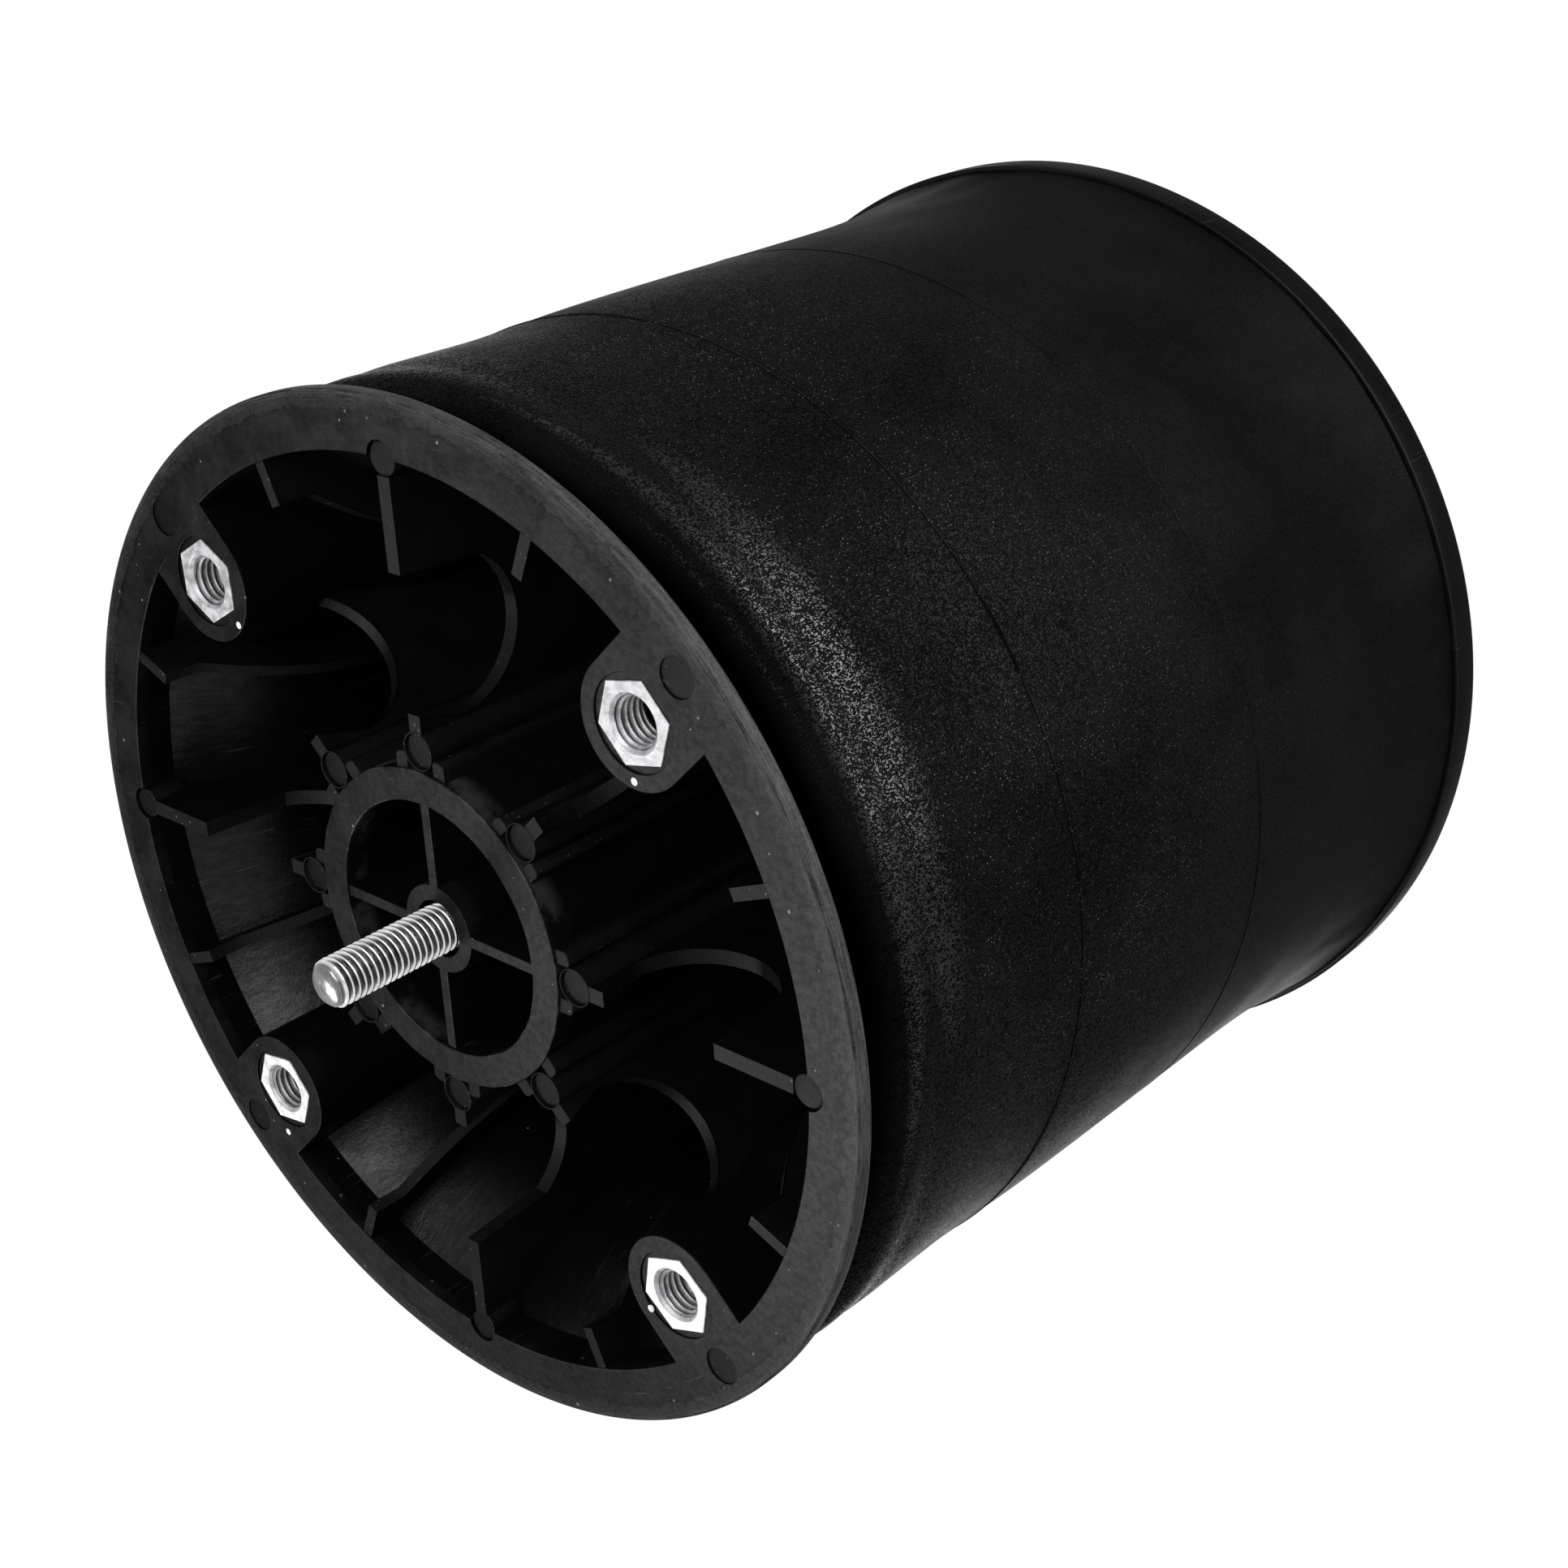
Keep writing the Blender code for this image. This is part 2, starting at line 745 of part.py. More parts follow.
def make_top_plate():
    """A sheet-steel plate whose rim is rolled down round the sleeve's upper bead."""
    rim_inner = crimp_radius - crimp_wall
    foot = assembly_height - crimp_depth
    rolled = arc((crimp_radius - crimp_round, assembly_height - crimp_round), crimp_round, 90, 0, 4)
    outline = [(0, assembly_height)] + rolled + [
        (crimp_radius, foot + crimp_wall / 2),
        (crimp_radius - crimp_wall / 2, foot),
        (rim_inner, foot + crimp_wall / 4),
        (rim_inner, top_underside - seat_gap),
        (rim_inner - seat_gap, top_underside),
        (0, top_underside),
    ]
    plate = turned("top_plate", outline)
    collar = cylinder("collar", inlet_collar_radius, top_underside - inlet_collar_depth,
                      top_underside + plate_thickness / 2, small_facets, (0, inlet_offset))
    plate = combine(plate, [collar], "UNION")
    below = top_underside - 2 * inlet_collar_depth
    above = assembly_height + plate_thickness
    holes = [cylinder("inlet_hole", inlet_thread_radius + seat_gap, below, above, small_facets, (0, inlet_offset))]
    for k in range(top_stud_count):
        x, y = top_stud_place(k)
        holes.append(cylinder("stud_hole", top_stud_radius + seat_gap, below, above, small_facets, (x, y)))
    holes.append(cylinder("pin_hole", pin_radius + seat_gap, below, above, small_facets, (0, -pin_offset)))
    return finish(combine(plate, holes, "DIFFERENCE"), "coated_steel")


def top_stud_place(index):
    angle = full_turn * index / top_stud_count
    return top_stud_circle_radius * math.cos(angle), top_stud_circle_radius * math.sin(angle)


def make_top_stud(index):
    x, y = top_stud_place(index)
    head_top = top_underside - seat_gap
    tip = assembly_height + top_stud_length
    outline = [
        (0, head_top - stud_head_thickness),
        (stud_head_radius, head_top - stud_head_thickness),
        (stud_head_radius, head_top),
        (top_stud_radius, head_top),
        (top_stud_radius, tip - bolt_tip_chamfer),
        (top_stud_radius - bolt_tip_chamfer, tip),
        (0, tip),
    ]
    stud = turned(f"top_stud_{index + 1}", outline, small_facets)
    stud.location = (x, y, 0)
    return finish(stud, "zinc")


def make_stud_nut(index):
    x, y = top_stud_place(index)
    name = f"top_stud_nut_{index + 1}"
    foot = seat_gap
    flange_top = foot + stud_nut_flange_height
    flange = cylinder(name, stud_nut_flange_radius, foot, flange_top)
    body = upright_plate("nut_body", hexagon(stud_nut_across_flats), foot + seat_gap, foot + stud_nut_height)
    nut = combine(flange, [body], "UNION")
    bore = cylinder("bore", top_stud_radius + seat_gap, -stud_nut_height, 2 * stud_nut_height)
    nut = combine(nut, [bore], "DIFFERENCE")
    nut.location = (x, y, assembly_height)
    return finish(nut, "zinc")


def make_locating_pin():
    """A headed dowel that turns the plate to its place on the bracket above."""
    head_top = top_underside - seat_gap
    tip = assembly_height + pin_height
    outline = [
        (0, head_top - pin_head_thickness),
        (pin_head_radius, head_top - pin_head_thickness),
        (pin_head_radius, head_top),
        (pin_radius, head_top),
        (pin_radius, tip - pin_radius / 4),
        (pin_radius * 3 / 4, tip),
        (0, tip),
    ]
    pin = turned("locating_pin", outline, small_facets)
    pin.location = (0, -pin_offset, 0)
    return finish(pin, "zinc")


def make_air_inlet():
    """A hexagon fitting screwed into the plate's collar, with its bore open through."""
    ring_top = assembly_height + 2 * seat_gap + inlet_ring_thickness
    hex_top = ring_top + inlet_hex_height
    foot = top_underside - inlet_collar_depth
    body = upright_plate("air_inlet", hexagon(inlet_across_flats), ring_top, hex_top)
    spigot = cylinder("spigot", inlet_thread_radius, foot, ring_top + inlet_hex_height / 2)
    body = combine(body, [spigot], "UNION")
    bore = cylinder("bore", inlet_bore_radius, foot - inlet_hex_height, hex_top + inlet_hex_height)
    body = combine(body, [bore], "DIFFERENCE")
    body.location = (0, inlet_offset, 0)
    return finish(body, "brass")


def make_inlet_ring():
    low = assembly_height + seat_gap
    inner = inlet_thread_radius + seat_gap
    seal = ring("inlet_seal_ring", inner, inner + inlet_ring_width, low, low + inlet_ring_thickness, "rubber")
    seal.location = (0, inlet_offset, 0)
    return seal


def slide_empty(name, height, children):
    """An empty on the slide axis that carries the pieces moving along it."""
    empty = bpy.data.objects.new(name, None)
    empty.location = (0, 0, height)
    parts.objects.link(empty)
    bpy.context.view_layer.update()
    for child in children:
        child.parent = empty
        child.matrix_parent_inverse = empty.matrix_world.inverted()
    return empty


finishes = {
    "moulded_plastic": ((0.022, 0.022, 0.023), 0.48, 0.0),
    "rubber": ((0.012, 0.012, 0.012), 0.42, 0.0),
    "coated_steel": ((0.02, 0.02, 0.022), 0.40, 0.6),
    "zinc": ((0.62, 0.63, 0.65), 0.28, 1.0),
    "brass": ((0.70, 0.52, 0.25), 0.30, 1.0),
}
sleeve_centre = sleeve_radius - half_sleeve
flare_radius = crimp_radius - crimp_wall - seat_gap - half_sleeve

clear_scene()
parts = new_collection("air_suspension_spring")

make_piston()
for position in range(1, nut_count + 1):
    make_base_nut(position)
make_central_bolt()
make_clamp_plate()
make_seal_ring()
bolt_bore = bolt_radius + clamp_bore_clearance
ring("bolt_washer", bolt_bore, bolt_bore + bolt_washer_width, washer_base,
     washer_base + bolt_washer_thickness, "zinc")
ring("bump_stop_retainer", bolt_bore, retainer_radius, retainer_base,
     retainer_base + retainer_thickness, "coated_steel")
make_bump_stop()

sleeve = make_sleeve()
slide_empty("lobe_slide", fold_centre()[1], [sleeve])

top_pieces = [make_top_plate(), make_locating_pin(), make_air_inlet(), make_inlet_ring()]
for position in range(top_stud_count):
    top_pieces.append(make_top_stud(position))
    top_pieces.append(make_stud_nut(position))
slide_empty("top_slide", assembly_height, top_pieces)
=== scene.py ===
import math

import bmesh
import bpy
from mathutils import Matrix, Quaternion, Vector


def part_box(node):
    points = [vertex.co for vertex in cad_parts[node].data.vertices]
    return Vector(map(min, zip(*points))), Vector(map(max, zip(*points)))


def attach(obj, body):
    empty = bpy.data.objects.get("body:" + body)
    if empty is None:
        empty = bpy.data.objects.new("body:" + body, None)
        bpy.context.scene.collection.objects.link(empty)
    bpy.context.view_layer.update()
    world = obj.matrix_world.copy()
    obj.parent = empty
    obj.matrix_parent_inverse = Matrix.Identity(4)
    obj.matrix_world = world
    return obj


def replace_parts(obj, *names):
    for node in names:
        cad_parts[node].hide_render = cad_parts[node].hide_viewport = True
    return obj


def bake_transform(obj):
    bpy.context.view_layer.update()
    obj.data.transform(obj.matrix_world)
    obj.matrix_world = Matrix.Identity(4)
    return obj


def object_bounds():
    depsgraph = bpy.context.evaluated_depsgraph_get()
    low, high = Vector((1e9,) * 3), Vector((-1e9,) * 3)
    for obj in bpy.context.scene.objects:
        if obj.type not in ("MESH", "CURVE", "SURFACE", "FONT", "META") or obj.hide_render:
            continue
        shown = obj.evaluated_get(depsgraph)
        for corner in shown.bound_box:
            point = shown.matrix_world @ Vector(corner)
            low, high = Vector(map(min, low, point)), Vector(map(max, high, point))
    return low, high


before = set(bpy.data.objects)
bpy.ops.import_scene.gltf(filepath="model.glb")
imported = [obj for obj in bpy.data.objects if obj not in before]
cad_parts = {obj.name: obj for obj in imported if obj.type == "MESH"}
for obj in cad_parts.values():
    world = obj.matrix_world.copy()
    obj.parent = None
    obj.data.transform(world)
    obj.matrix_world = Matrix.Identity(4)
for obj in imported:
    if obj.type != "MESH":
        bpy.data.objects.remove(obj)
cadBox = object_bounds()
print("frame loaded")

fullTurn = 2 * math.pi
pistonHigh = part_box("piston")[1]
plateLow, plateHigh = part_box("top_plate")
boltLow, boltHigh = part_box("central_bolt")
flangeRadius = pistonHigh.x
pistonTop = pistonHigh.z
topHeight = plateHigh.z
rimRadius = plateHigh.x
nutCircle = 0.0985
studReach = 0.070
# how far pieces of one moulding reach into each other, and how far separate parts stand apart
overlap = 0.001
clearance = 0.0003

scene = bpy.context.scene
scene.view_settings.view_transform = "Standard"


# helpers for node trees; most of them find their tree through a socket that they are given

def feed(value, socket):
    if isinstance(value, bpy.types.NodeSocket):
        socket.id_data.links.new(value, socket)
    else:
        socket.default_value = value


def addNode(tree, kind, inputs=(), **settings):
    # inputs are given by name or by number, each with a value or with a socket to link to it
    node = tree.nodes.new(kind)
    for name, value in settings.items():
        setattr(node, name, value)
    for name, value in dict(inputs).items():
        feed(value, node.inputs[name])
    return node


def calc(operation, *values):
    tree = next(value.id_data for value in values if isinstance(value, bpy.types.NodeSocket))
    return addNode(tree, "ShaderNodeMath", enumerate(values), operation=operation).outputs[0]


def folded(operation):
    # makes a function that puts its values through one operation, from left to right
    def fold(first, *others):
        for other in others:
            first = calc(operation, first, other)
        return first
    return fold


plus, minus, times, over = folded("ADD"), folded("SUBTRACT"), folded("MULTIPLY"), folded("DIVIDE")
most, least = folded("MAXIMUM"), folded("MINIMUM")


def absolute(value):
    return calc("ABSOLUTE", value)


def parted(vector):
    return addNode(vector.id_data, "ShaderNodeSeparateXYZ", {0: vector}).outputs


def vectorOf(x, y, z):
    return addNode(x.id_data, "ShaderNodeCombineXYZ", {0: x, 1: y, 2: z}).outputs[0]


def radiusOf(x, y):
    return calc("SQRT", plus(times(x, x), times(y, y)))


def polarOf(where):
    # radius from the axis, angle in turns, and height
    x, y, z = parted(where)
    return radiusOf(x, y), over(calc("ARCTAN2", y, x), fullTurn), z


def mapped(where, scale, turn=0.0):
    inputs = {"Vector": where, "Scale": scale, "Rotation": (0, 0, turn)}
    return addNode(where.id_data, "ShaderNodeMapping", inputs).outputs[0]


def noiseOf(where, scale, detail=3.0, rough=0.55, output="Fac"):
    inputs = {"Vector": where, "Scale": scale, "Detail": detail, "Roughness": rough}
    return addNode(where.id_data, "ShaderNodeTexNoise", inputs).outputs[output]


def between(value, low, high, outLow=0.0, outHigh=1.0):
    # eases from outLow to outHigh while the value goes from low to high
    inputs = {"Value": value, "From Min": low, "From Max": high, "To Min": outLow, "To Max": outHigh}
    return addNode(value.id_data, "ShaderNodeMapRange", inputs, interpolation_type="SMOOTHSTEP").outputs[0]


def mixColour(share, a, b):
    inputs = {"Factor": share, "A": a, "B": b}
    return addNode(share.id_data, "ShaderNodeMix", inputs, data_type="RGBA").outputs["Result"]


socketKinds = {"Geometry": "Geometry", "Vector": "Vector", "Finish": "Material"}


def startGroup(family, name, inputs, outputs):
    # whole numbers become Int sockets and other numbers Float sockets; gives the tree and its two ends
    tree = bpy.data.node_groups.new(name, family)
    for label, value in inputs.items():
        kind = socketKinds.get(label, "Int" if isinstance(value, int) else "Float")
        made = tree.interface.new_socket(label, in_out="INPUT", socket_type="NodeSocket" + kind)
        if value is not None:
            made.default_value = value
    for label in outputs:
        kind = socketKinds.get(label, "Float")
        tree.interface.new_socket(label, in_out="OUTPUT", socket_type="NodeSocket" + kind)
    return tree, tree.nodes.new("NodeGroupInput").outputs, tree.nodes.new("NodeGroupOutput").inputs


def inputId(tree, name):
    return next(s.identifier for s in tree.interface.items_tree if s.name == name and s.in_out == "INPUT")


# camera, world and lamps

view = {
    "place": (-0.38465, 0.26088, -0.30213),
    "turn": (-0.34746, 0.05812, 0.91149, 0.21230),
    "lens": 55.149,
    "sensor": 36.0,
    "clipStart": 0.01,
}

camera = bpy.data.objects.new("camera", bpy.data.cameras.new("camera"))
scene.collection.objects.link(camera)
camera.data.sensor_width = view["sensor"]
camera.data.lens = view["lens"]
camera.data.clip_start = view["clipStart"]
camera.rotation_mode = "QUATERNION"
camera.location = view["place"]
camera.rotation_quaternion = Quaternion(view["turn"]).normalized()
scene.camera = camera
bpy.context.view_layer.update()

middle = Vector((0, 0, topHeight / 2))
cameraTurn = camera.matrix_world.to_3x3()


def alongCamera(right, up, back):
    # a direction given along the camera's own right, up and back
    return cameraTurn @ Vector((right, up, back))


def besideCamera(right, up, back):
    # a place given in the same way, measured from the middle of the spring
    return middle + alongCamera(right, up, back)


# each lamp: place, aim, two sizes, power, and the direction in which the first size lies
light = {
    "surround": (0.96, 0.97, 1.0, 1),
    "surroundStrength": 0.38,
    "floorColour": (0.80, 0.80, 0.79, 1),
    "floorRoughness": 0.9,
    "floorDrop": 0.0006,
    "floorSize": 6.0,
    "lamps": {
        "keyBox": (
            besideCamera(0.84, 0.525, 0.28), middle, (1.00, 0.11), 12.0, alongCamera(-0.6, 0.90, -0.10),
        ),
        "frontBox": (
            besideCamera(-0.34, 0.14, 0.91), middle, (0.80, 0.22), 6.0, alongCamera(-0.65, 0.68, -0.25),
        ),
        "lowBox": (Vector((0.50, -0.57, -0.68)), Vector((-0.05, 0, 0)), (0.4, 0.4), 6.0, Vector((1, 0, 0))),
        "topBox": (Vector((0.5, -0.6, 1.1)), middle, (0.9, 0.9), 3.5, Vector((1, 0, 0))),
    },
}


def makeWorld():
    # a soft surround for the light, and plain white for what the camera, metal and glass see
    world = bpy.data.worlds.new("studio")
    world.use_nodes = True
    tree = world.node_tree
    tree.nodes.clear()
    rays = addNode(tree, "ShaderNodeLightPath").outputs
    seen = most(rays["Is Camera Ray"], rays["Is Glossy Ray"], rays["Is Transmission Ray"])
    surround = {"Color": light["surround"], "Strength": light["surroundStrength"]}
    soft = addNode(tree, "ShaderNodeBackground", surround)
    clear = addNode(tree, "ShaderNodeBackground", {"Color": (1, 1, 1, 1), "Strength": 1.0})
    sky = addNode(tree, "ShaderNodeMixShader", {0: seen, 1: soft.outputs[0], 2: clear.outputs[0]})
    addNode(tree, "ShaderNodeOutputWorld", {"Surface": sky.outputs[0]})
    return world


def addLamp(name, place, aim, size, power, along):
    away = (place - aim).normalized()
    across = (along - away * away.dot(along)).normalized()
    lamp = bpy.data.objects.new(name, bpy.data.lights.new(name, "AREA"))
    lamp.data.shape = "RECTANGLE"
    lamp.data.size, lamp.data.size_y = size
    lamp.data.energy = power
    lamp.location = place
    lamp.rotation_euler = Matrix((across, away.cross(across), away)).transposed().to_euler()
    scene.collection.objects.link(lamp)


scene.world = makeWorld()
for name, values in light["lamps"].items():
    addLamp(name, *values)
print("camera, world and lamps set")


# outlines, as lists of points

def arc(centre, radius, start, end, steps):
    turns = [math.radians(start + (end - start) * k / steps) for k in range(steps + 1)]
    return [(centre[0] + radius * math.cos(t), centre[1] + radius * math.sin(t)) for t in turns]


def circle(radius, count, centre=(0, 0), start=0.0):
    turns = [start + fullTurn * k / count for k in range(count)]
    return [(centre[0] + radius * math.cos(t), centre[1] + radius * math.sin(t)) for t in turns]


def turnedBy(angle, points):
    c, s = math.cos(angle), math.sin(angle)
    return [(x * c - y * s, x * s + y * c) for x, y in points]


def atAngle(radius, angle):
    return radius * math.cos(angle), radius * math.sin(angle)


def signedArea(outline):
    return sum(a[0] * b[1] - b[0] * a[1] for a, b in zip(outline, outline[1:] + outline[:1])) / 2


def roundedCorners(corners, steps=4):
    # an outline from (x, y, radius) corners, each rounded by its own radius
    outline = []
    count = len(corners)
    for k, (x, y, radius) in enumerate(corners):
        here = Vector((x, y))
        before = (Vector(corners[k - 1][:2]) - here).normalized()
        after = (Vector(corners[(k + 1) % count][:2]) - here).normalized()
        half = before.angle(after, math.pi) / 2
        if radius <= 0 or half > math.radians(89):
            outline.append((x, y))
            continue
        reach = radius / math.tan(half)
        centre = here + (before + after).normalized() * radius / math.sin(half)
        start = here + before * reach - centre
        end = here + after * reach - centre
        turn = start.angle_signed(end)
        for j in range(steps + 1):
            spot = start.copy()
            spot.rotate(Matrix.Rotation(-turn * j / steps, 2))
            outline.append(tuple(centre + spot))
    return outline


def hexagon(corner, rounding):
    spots = [atAngle(corner, math.pi / 3 * k) for k in range(6)]
    return roundedCorners([(x, y, rounding) for x, y in spots])


def inset(outline, distance):
    # moves an outline to its own left side, with mitred corners
    points = [Vector(p) for p in outline]
    inner = []
    for k, here in enumerate(points):
        before = (here - points[k - 1]).normalized()
        after = (points[(k + 1) % len(points)] - here).normalized()
        sideA = Vector((-before.y, before.x))
        sideB = Vector((-after.y, after.x))
        mitre = sideA + sideB
        mitre = mitre.normalized() if mitre.length > 0.001 else sideA
        inner.append(here + mitre * distance / max(0.5, mitre.dot(sideA)))
    return inner


# forms: bmeshes on their way to a mesh

mergeDistance = 0.000002
thinnest = 0.000001


def closeUp(form):
    # merges doubles and points every face outwards
    bmesh.ops.remove_doubles(form, verts=form.verts, dist=mergeDistance)
    bmesh.ops.dissolve_degenerate(form, edges=form.edges, dist=thinnest)
    bmesh.ops.recalc_face_normals(form, faces=form.faces)


def sharpen(form, angle=34):
    # smooth faces, with only the real corners kept sharp
    for face in form.faces:
        face.smooth = True
    for edge in form.edges:
        if len(edge.link_faces) == 2 and edge.calc_face_angle() > math.radians(angle):
            edge.smooth = False


def bridge(form, rings):
    for low, high in zip(rings, rings[1:]):
        for k in range(len(low)):
            j = (k + 1) % len(low)
            form.faces.new((low[k], low[j], high[j], high[k]))


def ringEdges(form, ring):
    return [form.edges.get((ring[k], ring[(k + 1) % len(ring)])) for k in range(len(ring))]


def plateForm(boundary, holes, front, back, roundings, steps=3):
    # a flat plate from a boundary and holes, with a rounded edge at the front and a plain back
    form = bmesh.new()
    loops = [boundary if signedArea(boundary) > 0 else boundary[::-1]]
    loops += [hole if signedArea(hole) < 0 else hole[::-1] for hole in holes]
    sign = 1 if back > front else -1
    frontEdges, backEdges = [], []
    for outline, rounding in zip(loops, roundings):
        rings = [[form.verts.new((x, y, back)) for x, y in outline]]
        for k in range(steps + 1):
            turn = math.pi / 2 * k / steps
            height = front + sign * rounding * (1 - math.sin(turn))
            spots = inset(outline, rounding * (1 - math.cos(turn)))
            rings.append([form.verts.new((x, y, height)) for x, y in spots])
        bridge(form, rings)
        frontEdges += ringEdges(form, rings[-1])
        backEdges += ringEdges(form, rings[0])
    for edges in (frontEdges, backEdges):
        bmesh.ops.triangle_fill(form, edges=edges, use_beauty=True)
    bmesh.ops.recalc_face_normals(form, faces=form.faces)
    sharpen(form)
    for edge in frontEdges:
        edge.smooth = False
    return form


def webForm(outline, thickness, rounding, steps=2):
    # a plate that stands in X and Z, with both long edges rounded
    form = bmesh.new()
    if signedArea(outline) < 0:
        outline = outline[::-1]
    rings = []
    for side in (-1, 1):
        for k in range(steps + 1):
            turn = math.pi / 2 * (k if side < 0 else steps - k) / steps
            depth = thickness / 2 - rounding * (1 - math.sin(turn))
            spots = inset(outline, rounding * (1 - math.cos(math.pi / 2 - turn)))
            rings.append([form.verts.new((x, side * depth, z)) for x, z in spots])
    bridge(form, rings)
    flat = []
    for ring in (rings[0], rings[-1]):
        edges = ringEdges(form, ring)
        bmesh.ops.triangle_fill(form, edges=edges, use_beauty=True)
        flat += edges
    bmesh.ops.recalc_face_normals(form, faces=form.faces)
    sharpen(form, 44)
    for edge in flat:
        edge.smooth = False
    return form


def turnedForm(outline, segments, shape=None):
    # a closed outline of (radius, height) turned about Z; shape(angle, r, z) may move each point
    form = bmesh.new()
    rings = []
    for s in range(segments):
        turn = fullTurn * s / segments
        spots = [shape(turn, r, z) for r, z in outline] if shape else outline
        rings.append([form.verts.new((r * math.cos(turn), r * math.sin(turn), z)) for r, z in spots])
    count = len(outline)
    for here, after in zip(rings, rings[1:] + rings[:1]):
        for k in range(count):
            j = (k + 1) % count
            if outline[k][0] > 0 or outline[j][0] > 0:
                form.faces.new((here[k], after[k], after[j], here[j]))
    closeUp(form)
    sharpen(form)
    return form


def moved(form, x=0.0, y=0.0, z=0.0, turn=0.0):
    place = Matrix.Translation((x, y, z)) @ Matrix.Rotation(turn, 4, "Z")
    bmesh.ops.transform(form, matrix=place, verts=form.verts)
    return form


def joined(first, *others):
    for other in others:
        mesh = bpy.data.meshes.new("joining")
        other.to_mesh(mesh)
        other.free()
        first.from_mesh(mesh)
        bpy.data.meshes.remove(mesh)
    return first


def addRound(form, radius, low, high, centre):
    bmesh.ops.create_cone(form, cap_ends=True, segments=64, radius1=radius, radius2=radius, depth=high - low,
                          matrix=Matrix.Translation((*centre, (low + high) / 2)))


# pieces: objects with a mesh

def linked(name, mesh):
    made = bpy.data.objects.new(name, mesh)
    scene.collection.objects.link(made)
    return made


def fromForm(name, form, material):
    mesh = bpy.data.meshes.new(name)
    form.to_mesh(mesh)
    form.free()
    mesh.materials.append(material)
    return linked(name, mesh)


def fromMesh(mesh):
    form = bmesh.new()
    form.from_mesh(mesh)
    return form


def plainMesh(piece):
    # the piece as its modifiers make it, as a plain mesh; the piece itself goes
    bpy.context.view_layer.update()
    graph = bpy.context.evaluated_depsgraph_get()
    mesh = bpy.data.meshes.new_from_object(piece.evaluated_get(graph))
    piece.modifiers.clear()
    bpy.data.objects.remove(piece, do_unlink=True)
    return mesh


def withTree(piece, tree, values, material):
    # puts a Geometry Nodes tree on a piece and turns the result into a plain mesh
    name = piece.name
    step = piece.modifiers.new(tree.name, "NODES")
    step.node_group = tree
    for label, value in {**values, "Finish": material}.items():
        step[inputId(tree, label)] = value
    return linked(name, plainMesh(piece))


def cutFrom(piece, cutterForm):
    # takes a form out of a piece and marks the new corners sharp
    name = piece.name
    cutter = fromForm("cutter", cutterForm, piece.data.materials[0])
    cut = piece.modifiers.new("cut", "BOOLEAN")
    cut.operation = "DIFFERENCE"
    cut.solver = "EXACT"
    cut.use_self = True
    cut.object = cutter
    mesh = plainMesh(piece)
    bpy.data.objects.remove(cutter, do_unlink=True)
    form = fromMesh(mesh)
    closeUp(form)
    sharpen(form, 30)
    form.to_mesh(mesh)
    form.free()
    return linked(name, mesh)


# Geometry Nodes: a piece repeated round the axis, and a screw thread

def endTree(tree, geometry, take, give):
    real = addNode(tree, "GeometryNodeRealizeInstances", {0: geometry})
    paint = addNode(tree, "GeometryNodeSetMaterial", {"Geometry": real.outputs[0], "Material": take["Finish"]})
    feed(paint.outputs[0], give[0])
    return tree


def makeRoundTree():
    tree, take, give = startGroup("GeometryNodeTree", "repeatRound", {
        "Geometry": None, "Count": 8, "First Angle": 0.0, "Finish": None,
    }, ["Geometry"])
    points = addNode(tree, "GeometryNodeMeshLine", {"Offset": (0, 0, 0), "Count": take["Count"]})
    index = addNode(tree, "GeometryNodeInputIndex").outputs[0]
    angle = calc("MULTIPLY_ADD", index, over(fullTurn, take["Count"]), take["First Angle"])
    turn = addNode(tree, "ShaderNodeCombineXYZ", {"Z": angle})
    copies = addNode(tree, "GeometryNodeInstanceOnPoints", {
        "Points": points.outputs[0], "Instance": take["Geometry"], "Rotation": turn.outputs[0],
    })
    return endTree(tree, copies.outputs[0], take, give)


